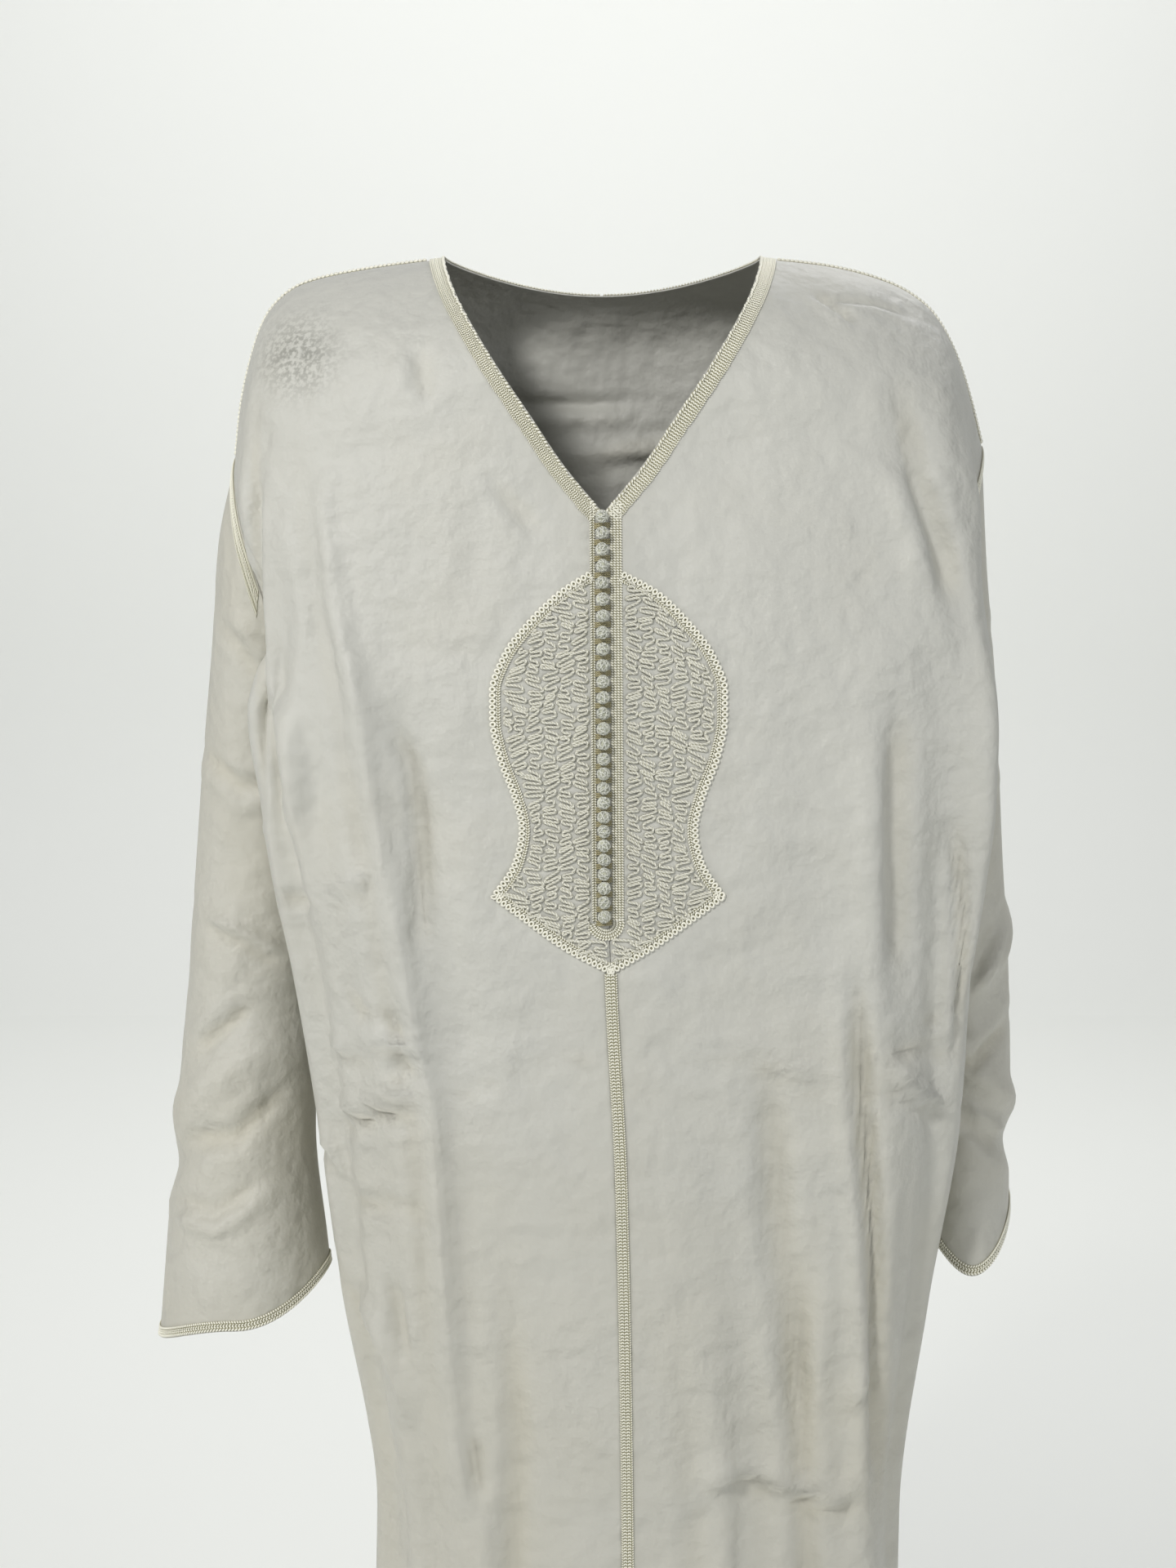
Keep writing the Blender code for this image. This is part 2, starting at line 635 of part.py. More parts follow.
def cuff_z(side, angle):
    cuff = CUFFS[side]
    front, back = np.maximum(np.sin(angle), 0) ** 2, np.maximum(-np.sin(angle), 0) ** 2
    outer, inner = np.maximum(np.cos(angle), 0) ** 2, np.maximum(-np.cos(angle), 0) ** 2
    return cuff.front * front + cuff.back * back + cuff.outer * outer + cuff.inner * inner


def sleeve_surface(side, turns, down):
    """A point of the sleeve, by its turns from the outer side: down 0 is the armhole seam, 1 the cuff."""
    angle = 2 * np.pi * turns
    around = np.abs(np.angle(np.exp(1j * angle)))
    top, foot = armhole_z(side, around), cuff_z(side, angle)
    return sleeve_point(side, angle, top + (foot - top) * down)


def sleeve_facing(side, turns, down):
    """The outward direction of the sleeve."""
    step = 1e-3
    around = sleeve_surface(side, turns + step, down) - sleeve_surface(side, turns - step, down)
    lower, upper = np.minimum(down + step, 1), np.maximum(down - step, 0)
    drop = sleeve_surface(side, turns, lower) - sleeve_surface(side, turns, upper)
    return side * unit(np.cross(around, drop))


SLEEVE_TURNS = np.concatenate((ARMHOLE_STEPS, 2 * np.pi - ARMHOLE_STEPS[-2::-1])) / (2 * np.pi)


def sleeves(cloth):
    for side in (RIGHT, LEFT):
        turns, down = np.meshgrid(SLEEVE_TURNS, SLEEVE_ROWS)
        points = sleeve_surface(side, turns, down)
        around = np.abs(np.angle(np.exp(2j * np.pi * SLEEVE_TURNS)))
        points[0] += armhole_part(side, around)
        wall(f"sleeve_{SIDE_NAMES[side]}", points, sleeve_facing(side, turns, down), CLOTH_WALL, cloth)


def neck_strip(side, face, stops):
    """A strip of points along a body panel's neckline, and the directions there."""
    def place(a, b):
        return body_point(side, face, a, b)

    edge = place(stops, 0.0)
    run = unit(place(np.minimum(stops + 1e-3, NECK_SHARE), 0.0) - place(np.maximum(stops - 1e-3, 0), 0.0))
    out = body_facing(side, face, stops, np.full(len(stops), 0.002))
    inwards = unit(np.cross(out, run)) * (-side if face == "front" else side)
    reaches = np.linspace(SEAM_GAP, NECK_BRAID_WIDTH, 3)
    points, outs = np.zeros((len(stops), 3, 3)), np.zeros((len(stops), 3, 3))
    for i, reach in enumerate(reaches):
        across, down = nearest(place, edge + inwards * reach, (1.0, 1.0))
        points[:, i] = place(across, down)
        outs[:, i] = body_facing(side, face, across, down)
    return points, outs


def neck_braids(braid):
    """The braid round the neck: a run down each side of the V, and one round the back."""
    for side in (RIGHT, LEFT):
        points, outs = neck_strip(side, "front", NECK_SHARE * np.linspace(0.035, 0.995, 26))
        laid_on(f"neck_braid_{SIDE_NAMES[side]}", points, outs, BRAID_WALL, braid)
    stops = NECK_SHARE * np.linspace(0, 0.995, 13)
    right, left = (neck_strip(side, "back", stops) for side in (RIGHT, LEFT))
    joined = [np.concatenate((r[:0:-1], l)) for r, l in zip(right, left)]
    laid_on("neck_braid_back", *joined, BRAID_WALL, braid)


def button_x(z):
    """The line of buttons, which runs beside the front seam."""
    return -0.0008 + 0.0016 * (z - BUTTON_STOPS[0]) / (BUTTON_STOPS[2] - BUTTON_STOPS[0])


def placket_braids(braid):
    """A narrow braid beside the buttons, and a wide one that turns under the last button to meet it."""
    outer = (PLACKET_EDGES[LEFT][1] - PLACKET_EDGES[RIGHT][0]) / 2
    turn_z = SLIT_END_Z + outer
    for side in (RIGHT, LEFT):
        z = np.linspace(PLACKET_TOP_Z[side], turn_z, 14)
        x = button_x(z)[:, None] + np.linspace(*PLACKET_EDGES[side], 3)
        z = z[:, None] + 0 * x
        if side == LEFT:
            turn = np.radians(np.arange(15, 180, 15))[:, None]
            middle = button_x(turn_z) + PLACKET_EDGES[LEFT][1] - outer
            wide, narrow = np.diff(PLACKET_EDGES[LEFT]), np.diff(PLACKET_EDGES[RIGHT])
            widths = wide + (narrow - wide) * turn / np.pi
            radius = outer - widths * np.array([1, 0.5, 0])
            x = np.concatenate((x, middle + radius * np.cos(turn)))
            z = np.concatenate((z, turn_z - radius * np.sin(turn)))
        laid_on(f"placket_braid_{SIDE_NAMES[side]}", *on_front(x, z), BRAID_WALL, braid)


def button_heights():
    return through((1, (BUTTON_COUNT + 1) / 2, BUTTON_COUNT), BUTTON_STOPS, np.arange(1, BUTTON_COUNT + 1))


def button_loops(cord):
    """The looped cord under the buttons, with a bar between each button and the next."""
    heights = button_heights()
    gaps = -np.diff(heights)
    gaps = np.append(gaps, gaps[-1])
    z = (heights[:, None] - gaps[:, None] * np.array([-0.25, 0, 0.25, 0.5])).ravel()
    rises = np.tile([0, 0, 0, LOOP_BAR_RISE], BUTTON_COUNT)[:, None, None]
    x = button_x(z)[:, None] + LOOPS_WIDTH * np.array([-0.5, 0, 0.5])
    points, outs = on_front(x, z[:, None] + 0 * x)
    wall("button_loops", points + outs * (LAY_GAP + LOOPS_WALL + rises), outs, LOOPS_WALL, cord)


def buttons(knot):
    """Knotted balls, each on its own shank of cord."""
    heights = button_heights()
    points, outs = on_front(button_x(heights), heights)
    bm = bmesh.new()
    bmesh.ops.create_uvsphere(bm, u_segments=8, v_segments=5, radius=BUTTON_DIAMETER / 2)
    first = finished("button_01", bm, knot)
    seat = LAY_GAP + LOOPS_WALL + SEAM_GAP + BUTTON_DIAMETER / 2
    for i in range(BUTTON_COUNT):
        button = first
        if i:
            button = bpy.data.objects.new(f"button_{i + 1:02d}", first.data)
            bpy.context.scene.collection.objects.link(button)
        button.location = points[i] + outs[i] * seat
        button.rotation_euler = Vector(outs[i]).to_track_quat("Z", "X").to_euler()


def inset_line(line, distance):
    """The line moved sideways by a distance, with sharp corners, its ends kept on their uprights."""
    line = np.array(line)
    ways = unit(np.diff(line, axis=0))
    normals = np.stack((ways[:, 1], -ways[:, 0]), axis=-1)
    moved = line.copy()
    middle = unit(normals[:-1] + normals[1:])
    moved[1:-1] += middle * distance / np.sum(middle * normals[1:], axis=-1, keepdims=True)
    moved[0, 1] += distance / normals[0, 1]
    moved[-1, 1] += distance / normals[-1, 1]
    return moved


def plastron_outline(side):
    """The outline on one side of the slit, with a point between each two corners."""
    start = (button_x(PLASTRON_TOP_Z) + side_edge(side), PLASTRON_TOP_Z)
    foot = (at_height(MIDDLE, PLASTRON_FOOT_Z).lean + side * SEAM_GAP / 2, PLASTRON_FOOT_Z)
    corners = [start, *((PLASTRON_MIDDLE + side * e.x, e.z) for e in PLASTRON_OUTLINE), foot]
    line = [corners[0]]
    for a, b in zip(corners, corners[1:]):
        line += [((a[0] + b[0]) / 2, (a[1] + b[1]) / 2), b]
    return line


def side_edge(side):
    """How far across the plastron starts, clear of the placket's braid."""
    return PLACKET_EDGES[side][0 if side == RIGHT else 1] + side * SEAM_GAP


def plastron(braid):
    """The cord-worked shield beside the slit, in two halves, each with a raised looped edge."""
    for side in (RIGHT, LEFT):
        outer = np.array(plastron_outline(side))
        inner = inset_line(outer, side * PLASTRON_EDGE_WIDTH)
        x, z = (np.stack((outer[:, k], inner[:, k]), axis=1) for k in (0, 1))
        laid_on(f"plastron_edge_{SIDE_NAMES[side]}", *on_front(x, z), PLASTRON_EDGE_WALL, braid)

        rim = inset_line(outer, side * (PLASTRON_EDGE_WIDTH + SEAM_GAP))
        turn_z = SLIT_END_Z - SEAM_GAP
        rows = np.sort(np.append(rim[2:-1, 1], [turn_z, turn_z - SEAM_GAP]))[::-1]
        far = np.interp(-rows, -rim[:, 1], rim[:, 0])
        near = button_x(rows) + side_edge(side)
        near[rows < turn_z] = (at_height(MIDDLE, rows).lean + side * SEAM_GAP / 2)[rows < turn_z]
        x = near[:, None] + (far - near)[:, None] * np.linspace(0, 1, 4)
        laid_on(f"plastron_{SIDE_NAMES[side]}", *on_front(x, rows[:, None] + 0 * x), PLASTRON_WALL, braid)


def front_seam_braid(braid):
    """The braid over the front seam, from the plastron's foot to the hem."""
    rows = body_point(LEFT, "front", 0.0, BODY_ROWS)[:, 2]
    top, foot = PLASTRON_FOOT_Z - SEAM_GAP - 0.004, -ROBE_LENGTH + 0.001
    z = np.concatenate(([top], rows[(rows < top - 0.01) & (rows > foot + 0.01)], [foot]))
    x = at_height(MIDDLE, z).lean[:, None] + SEAM_BRAID_WIDTH * np.array([-0.5, 0, 0.5])
    laid_on("front_seam_braid", *on_front(x, z[:, None] + 0 * x), BRAID_WALL, braid)


def shoulder_cords(cord):
    """A fine cord over each shoulder seam, from the neck's braid to the armhole."""
    for side in (RIGHT, LEFT):
        stops = NECK_SHARE + (1 - NECK_SHARE) * np.linspace(*SHOULDER_CORD_ENDS, 24)
        edge = top_edge(side, "front", stops)
        centre = xyz(side * edge.x, 0.0, edge.z)
        run = unit(np.gradient(centre, axis=0))
        out = np.repeat(unit(np.cross(run, (0.0, side, 0.0)))[:, None], 3, axis=1)
        across = np.array([[0, -0.5, 0], [0, 0, 0], [0, 0.5, 0]]) * SHOULDER_CORD_WIDTH
        laid_on(f"shoulder_cord_{SIDE_NAMES[side]}", centre[:, None] + across, out, BRAID_WALL, cord)


def on_sleeve(side, turns, rows, shares):
    """Points on the sleeve's flats between two of its rows, and the directions out of them."""
    upper, lower = (sleeve_surface(side, turns, row)[:, None] for row in rows)
    points = upper + (lower - upper) * shares[..., None]
    down = rows[0] + (rows[1] - rows[0]) * shares
    return points, sleeve_facing(side, turns[:, None] + 0 * down, down)


def armhole_braids(braid):
    """The braid along each armhole seam, over the shoulder tip and down to where the body's fold hides it."""
    for side in (RIGHT, LEFT):
        steps = ARMHOLE_STEPS[:7] / (2 * np.pi)
        turns = np.concatenate((-steps[:0:-1], steps[: 7 if side == RIGHT else 6]))
        step = 1e-3
        run = sleeve_surface(side, turns + step, 0.0) - sleeve_surface(side, turns - step, 0.0)
        level = np.hypot(run[:, 0], run[:, 1]) / np.linalg.norm(run, axis=-1)
        seam_z, row_z = (sleeve_surface(side, turns, row)[:, 2] for row in SLEEVE_ROWS[:2])
        drops = (SEAM_GAP * 2 + ARMHOLE_BRAID_WIDTH * np.array([0, 1])) / level[:, None]
        points, outs = on_sleeve(side, turns, SLEEVE_ROWS[:2], drops / (seam_z - row_z)[:, None])
        laid_on(f"armhole_braid_{SIDE_NAMES[side]}", points, outs, BRAID_WALL, braid)


def cuff_braids(braid):
    """The braid round each cuff, on the sleeve's own grid of turns."""
    for side in (RIGHT, LEFT):
        row_z, cuff = (sleeve_surface(side, SLEEVE_TURNS, row)[:, 2] for row in SLEEVE_ROWS[-2:])
        rises = 0.001 + CUFF_BRAID_WIDTH * np.array([1, 0])
        shares = 1 - rises / (row_z - cuff)[:, None]
        points, outs = on_sleeve(side, SLEEVE_TURNS, SLEEVE_ROWS[-2:], shares)
        laid_on(f"cuff_braid_{SIDE_NAMES[side]}", points, outs, BRAID_WALL, braid)


cloth = material("ivory_cloth", IVORY, 0.55)
braid = material("ivory_braid", BRAID_IVORY, 0.45)
knot = material("ivory_knots", BUTTON_IVORY, 0.45)
body_panels(cloth)
sleeves(cloth)
neck_braids(braid)
placket_braids(braid)
button_loops(braid)
buttons(knot)
plastron(braid)
front_seam_braid(braid)
shoulder_cords(braid)
armhole_braids(braid)
cuff_braids(braid)
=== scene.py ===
"""A hoodless djellaba robe's looks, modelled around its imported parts: cloth, braids, cord work and buttons.

Metres, +Z up, in the parts' own frame: the wearer faces -Y, and the origin is the middle of the neck opening.
"""

import math
from collections import namedtuple
from functools import lru_cache

import bmesh
import bpy
import numpy as np
from bpy.props import FloatProperty, FloatVectorProperty, IntProperty, PointerProperty
from bpy.types import Operator, Panel, PropertyGroup
from mathutils import Matrix, Vector


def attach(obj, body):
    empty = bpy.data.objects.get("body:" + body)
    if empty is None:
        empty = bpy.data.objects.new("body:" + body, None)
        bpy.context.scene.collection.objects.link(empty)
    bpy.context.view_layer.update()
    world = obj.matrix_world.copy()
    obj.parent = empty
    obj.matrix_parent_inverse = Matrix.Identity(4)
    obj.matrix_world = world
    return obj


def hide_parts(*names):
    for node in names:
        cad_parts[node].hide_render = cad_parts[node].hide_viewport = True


bl_info = {
    "name": "Djellaba Robe",
    "version": (1, 0, 0),
    "blender": (4, 5, 0),
    "location": "View3D > Sidebar > Robe",
    "description": "Models a djellaba robe's cloth, braids, cord work and buttons",
    "category": "Object",
}

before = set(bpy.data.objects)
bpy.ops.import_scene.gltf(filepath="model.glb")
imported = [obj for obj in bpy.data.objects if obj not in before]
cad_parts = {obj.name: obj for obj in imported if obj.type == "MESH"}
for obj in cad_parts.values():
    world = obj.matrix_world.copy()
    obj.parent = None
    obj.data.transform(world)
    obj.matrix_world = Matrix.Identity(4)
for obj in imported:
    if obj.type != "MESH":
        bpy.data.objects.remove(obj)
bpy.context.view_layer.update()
ROBE_LENGTH = 1.40

# The robe's sizes
SEAM_GAP = 0.0003
UNDERARM_Z = -0.405
ARMHOLE_FALL = 0.85
TUCK_TURN = math.radians(148)
SHOULDER_ROLL = {"front": 0.100, "back": 0.060}
TIP_ROLL = 0.066
NECK_SHARE = 0.34
BACK_NECK_REACH = 0.70
LAY_GAP = 0.0008
SEAM_BRAID_WIDTH = 0.0080
ARMHOLE_BRAID_WIDTH = 0.0060
CUFF_BRAID_WIDTH = 0.0080
SHOULDER_CORD_WIDTH = 0.0036
SHOULDER_CORD_ENDS = (0.056, 0.997)
BUTTON_COUNT = 27
BUTTON_DIAMETER = 0.0084
BUTTON_STOPS = (-0.1710, -0.3022, -0.4203)
SLIT_END_Z = -0.4345

RIGHT, LEFT = -1, 1
SIDE_NAMES = {RIGHT: "right", LEFT: "left"}

# The middle of the robe at each height: how far it leans to the side and stands off the back plane
Middle = namedtuple("Middle", "z lean front back")
MIDDLE = [
    Middle(0.000, 0.000, 0.085, 0.092),
    Middle(-0.100, 0.000, 0.112, 0.112),
    Middle(-0.170, 0.000, 0.125, 0.120),
    Middle(-0.250, 0.000, 0.136, 0.120),
    Middle(-0.350, 0.002, 0.142, 0.114),
    Middle(-0.460, 0.005, 0.146, 0.110),
    Middle(-0.600, 0.012, 0.148, 0.118),
    Middle(-0.800, 0.016, 0.143, 0.134),
    Middle(-1.000, 0.018, 0.145, 0.146),
    Middle(-1.200, 0.020, 0.155, 0.158),
    Middle(-1.400, 0.022, 0.166, 0.170),
]

# The side of the body: the widest line of the front cloth and of the back cloth
Side = namedtuple("Side", "z edge_x edge_y back_x back_y")
SIDES = {
    RIGHT: [
        Side(-0.131, 0.238, -0.060, 0.234, 0.060),
        Side(-0.200, 0.228, -0.070, 0.228, 0.084),
        Side(-0.235, 0.223, -0.072, 0.220, 0.090),
        Side(-0.300, 0.229, -0.074, 0.212, 0.094),
        Side(-0.360, 0.225, -0.072, 0.204, 0.094),
        Side(-0.405, 0.219, -0.070, 0.198, 0.092),
        Side(-0.470, 0.207, -0.064, 0.192, 0.086),
        Side(-0.570, 0.193, -0.054, 0.188, 0.078),
        Side(-0.700, 0.178, -0.046, 0.178, 0.062),
        Side(-0.854, 0.147, -0.044, 0.151, 0.060),
        Side(-1.000, 0.150, -0.046, 0.156, 0.060),
        Side(-1.200, 0.168, -0.048, 0.174, 0.060),
        Side(-1.400, 0.186, -0.050, 0.192, 0.060),
    ],
    LEFT: [
        Side(-0.123, 0.246, -0.060, 0.242, 0.060),
        Side(-0.200, 0.246, -0.074, 0.238, 0.086),
        Side(-0.310, 0.258, -0.082, 0.222, 0.100),
        Side(-0.360, 0.257, -0.080, 0.212, 0.102),
        Side(-0.405, 0.252, -0.078, 0.206, 0.100),
        Side(-0.470, 0.244, -0.076, 0.202, 0.096),
        Side(-0.570, 0.240, -0.070, 0.200, 0.088),
        Side(-0.700, 0.222, -0.060, 0.200, 0.072),
        Side(-0.854, 0.206, -0.050, 0.204, 0.062),
        Side(-1.000, 0.206, -0.048, 0.208, 0.060),
        Side(-1.200, 0.216, -0.048, 0.218, 0.060),
        Side(-1.400, 0.228, -0.050, 0.232, 0.060),
    ],
}

# The side seam below the underarm, and the degrees the front and the back cloth turn to reach it
Seam = namedtuple("Seam", "z x y turn back_turn")
SIDE_SEAMS = {
    RIGHT: [
        Seam(-0.405, 0.190, 0.021, 60, 60),
        Seam(-0.470, 0.180, 0.019, 84, 82),
        Seam(-0.570, 0.178, 0.016, 92, 90),
        Seam(-0.700, 0.170, 0.012, 92, 90),
        Seam(-0.854, 0.146, 0.010, 90, 90),
        Seam(-1.000, 0.150, 0.010, 90, 90),
        Seam(-1.200, 0.168, 0.006, 90, 90),
        Seam(-1.400, 0.186, 0.004, 90, 90),
    ],
    LEFT: [
        Seam(-0.405, 0.193, 0.028, 60, 60),
        Seam(-0.470, 0.186, 0.025, 84, 82),
        Seam(-0.570, 0.186, 0.020, 96, 90),
        Seam(-0.700, 0.190, 0.016, 96, 90),
        Seam(-0.854, 0.198, 0.010, 92, 90),
        Seam(-1.000, 0.204, 0.008, 90, 90),
        Seam(-1.200, 0.216, 0.006, 90, 90),
        Seam(-1.400, 0.228, 0.004, 90, 90),
    ],
}

# The widest line's share of the way across, and how far the section's curves keep their way
EDGE_SHARE = 0.75
FLAT_REACH = 0.66
TURN_REACH = 0.60
SIDE_REACH = 0.40

# How the upper edge's shape fades out below it, and how a hanging fold starts, ends and stays off the seams
TILT_FADE = 1.15
SLANT_FADE = 0.14
FOLD_START = 0.16
FOLD_END = 0.08
FOLD_FROM_MIDDLE = 0.10
FOLD_FROM_SIDE = 0.06

# Each sleeve at each height: its outer and inner sides, its middle from front to back and its half depth
Sleeve = namedtuple("Sleeve", "z outer inner mid_y half_depth")
SLEEVES = {
    RIGHT: [
        Sleeve(-0.131, 0.247, 0.163, 0.000, 0.060),
        Sleeve(-0.190, 0.261, 0.176, 0.006, 0.060),
        Sleeve(-0.260, 0.268, 0.186, 0.014, 0.060),
        Sleeve(-0.340, 0.277, 0.190, 0.020, 0.058),
        Sleeve(-0.405, 0.283, 0.190, 0.022, 0.056),
        Sleeve(-0.500, 0.291, 0.197, 0.020, 0.056),
        Sleeve(-0.600, 0.300, 0.202, 0.010, 0.057),
        Sleeve(-0.700, 0.308, 0.192, 0.000, 0.058),
        Sleeve(-0.760, 0.313, 0.190, -0.004, 0.058),
    ],
    LEFT: [
        Sleeve(-0.123, 0.256, 0.170, 0.000, 0.060),
        Sleeve(-0.200, 0.262, 0.180, 0.008, 0.060),
        Sleeve(-0.290, 0.272, 0.190, 0.018, 0.060),
        Sleeve(-0.405, 0.281, 0.193, 0.028, 0.058),
        Sleeve(-0.490, 0.288, 0.206, 0.034, 0.060),
        Sleeve(-0.580, 0.291, 0.214, 0.036, 0.066),
        Sleeve(-0.660, 0.291, 0.220, 0.034, 0.070),
        Sleeve(-0.720, 0.289, 0.222, 0.030, 0.072),
    ],
}

# The cuff's height at the outer, front, inner and back side of each sleeve
Cuff = namedtuple("Cuff", "outer front inner back")
CUFFS = {
    RIGHT: Cuff(-0.744, -0.724, -0.696, -0.726),
    LEFT: Cuff(-0.656, -0.692, -0.650, -0.638),
}

# The neckline's front edge, by its share of the way from the slit's top to the shoulder seam
Edge = namedtuple("Edge", "x z")
Neckline = namedtuple("Neckline", "share x z")
NECKLINE = [
    Neckline(0.00, 0.0000, -0.1680),
    Neckline(0.16, 0.0250, -0.1380),
    Neckline(0.32, 0.0460, -0.1070),
    Neckline(0.47, 0.0670, -0.0760),
    Neckline(0.60, 0.0840, -0.0480),
    Neckline(0.70, 0.0940, -0.0290),
    Neckline(0.80, 0.1005, -0.0130),
    Neckline(0.90, 0.1040, -0.0032),
    Neckline(1.00, 0.1050, 0.0000),
]

# The shoulder seam, from the neck to the tip on the upper arm
SHOULDERS = {
    RIGHT: [
        Edge(0.105, 0.000),
        Edge(0.157, -0.007),
        Edge(0.201, -0.017),
        Edge(0.223, -0.035),
        Edge(0.235, -0.064),
        Edge(0.243, -0.098),
        Edge(0.247, -0.131),
    ],
    LEFT: [
        Edge(0.105, 0.000),
        Edge(0.150, -0.005),
        Edge(0.192, -0.016),
        Edge(0.219, -0.033),
        Edge(0.236, -0.060),
        Edge(0.247, -0.090),
        Edge(0.256, -0.123),
    ],
}

# Hanging folds: where each crosses the panel at its top and foot, its ends, its height and its half width
Fold = namedtuple("Fold", "across_top across_foot top foot rise half_width")
FOLDS = {
    ("front", RIGHT): [
        Fold(0.350, 0.270, -0.15, -1.40, 0.008, 0.10),
        Fold(0.250, 0.200, -0.24, -0.56, -0.004, 0.06),
        Fold(0.480, 0.480, -0.20, -0.46, 0.006, 0.07),
        Fold(0.560, 0.540, -0.16, -1.40, -0.010, 0.10),
        Fold(0.700, 0.720, -0.70, -1.40, 0.010, 0.12),
        Fold(0.150, 0.130, -0.80, -1.40, -0.008, 0.10),
    ],
    ("front", LEFT): [
        Fold(0.280, 0.600, -0.24, -1.40, 0.007, 0.09),
        Fold(0.440, 0.780, -0.22, -1.40, -0.008, 0.10),
        Fold(0.600, 0.600, -0.16, -0.52, 0.007, 0.09),
        Fold(0.160, 0.240, -0.46, -1.40, -0.008, 0.11),
        Fold(0.300, 0.380, -0.80, -1.40, -0.010, 0.09),
    ],
    ("back", RIGHT): [
        Fold(0.150, 0.130, -0.20, -1.40, 0.010, 0.10),
        Fold(0.270, 0.260, -0.26, -1.40, -0.014, 0.09),
        Fold(0.400, 0.400, -0.18, -1.40, 0.014, 0.10),
        Fold(0.540, 0.540, -0.30, -1.40, -0.014, 0.09),
        Fold(0.680, 0.680, -0.60, -1.40, 0.014, 0.10),
    ],
    ("back", LEFT): [
        Fold(0.120, 0.120, -0.24, -1.40, 0.012, 0.10),
        Fold(0.250, 0.230, -0.30, -1.40, -0.012, 0.10),
        Fold(0.380, 0.380, -0.14, -1.40, 0.013, 0.10),
        Fold(0.520, 0.500, -0.34, -1.40, -0.015, 0.09),
        Fold(0.650, 0.650, -0.62, -1.40, 0.014, 0.10),
    ],
}

# Folds that run round a sleeve: middle height, slant down towards the front, rise and half height
Crease = namedtuple("Crease", "z slant angle reach rise half_height")
CREASES = {
    RIGHT: [
        Crease(-0.560, 0.030, 60, 110, 0.005, 0.022),
        Crease(-0.600, 0.034, 50, 120, -0.006, 0.024),
        Crease(-0.470, -0.020, 300, 90, -0.005, 0.024),
    ],
    LEFT: [
        Crease(-0.470, -0.030, 40, 100, 0.005, 0.020),
        Crease(-0.590, 0.030, 60, 110, -0.007, 0.024),
        Crease(-0.560, 0.030, 60, 110, 0.006, 0.020),
    ],
}

# The plastron's outline on each side of the slit, from its top point round to its foot
PLASTRON_OUTLINE = [
    Edge(0.0310, -0.2160),
    Edge(0.0520, -0.2360),
    Edge(0.0670, -0.2560),
    Edge(0.0750, -0.2790),
    Edge(0.0750, -0.2960),
    Edge(0.0700, -0.3220),
    Edge(0.0610, -0.3460),
    Edge(0.0565, -0.3660),
    Edge(0.0600, -0.3850),
    Edge(0.0750, -0.4090),
    Edge(0.0520, -0.4260),
    Edge(0.0280, -0.4430),
]
PLASTRON_TOP_Z = -0.2040
PLASTRON_FOOT_Z = -0.4585
PLASTRON_MIDDLE = 0.0035

# The edges of the two placket braids, measured across from the line of buttons
PLACKET_EDGES = {RIGHT: (-0.0079, -0.0041), LEFT: (0.0048, 0.0130)}
LOOPS_WIDTH = 0.0074
LOOPS_WALL = 0.0010

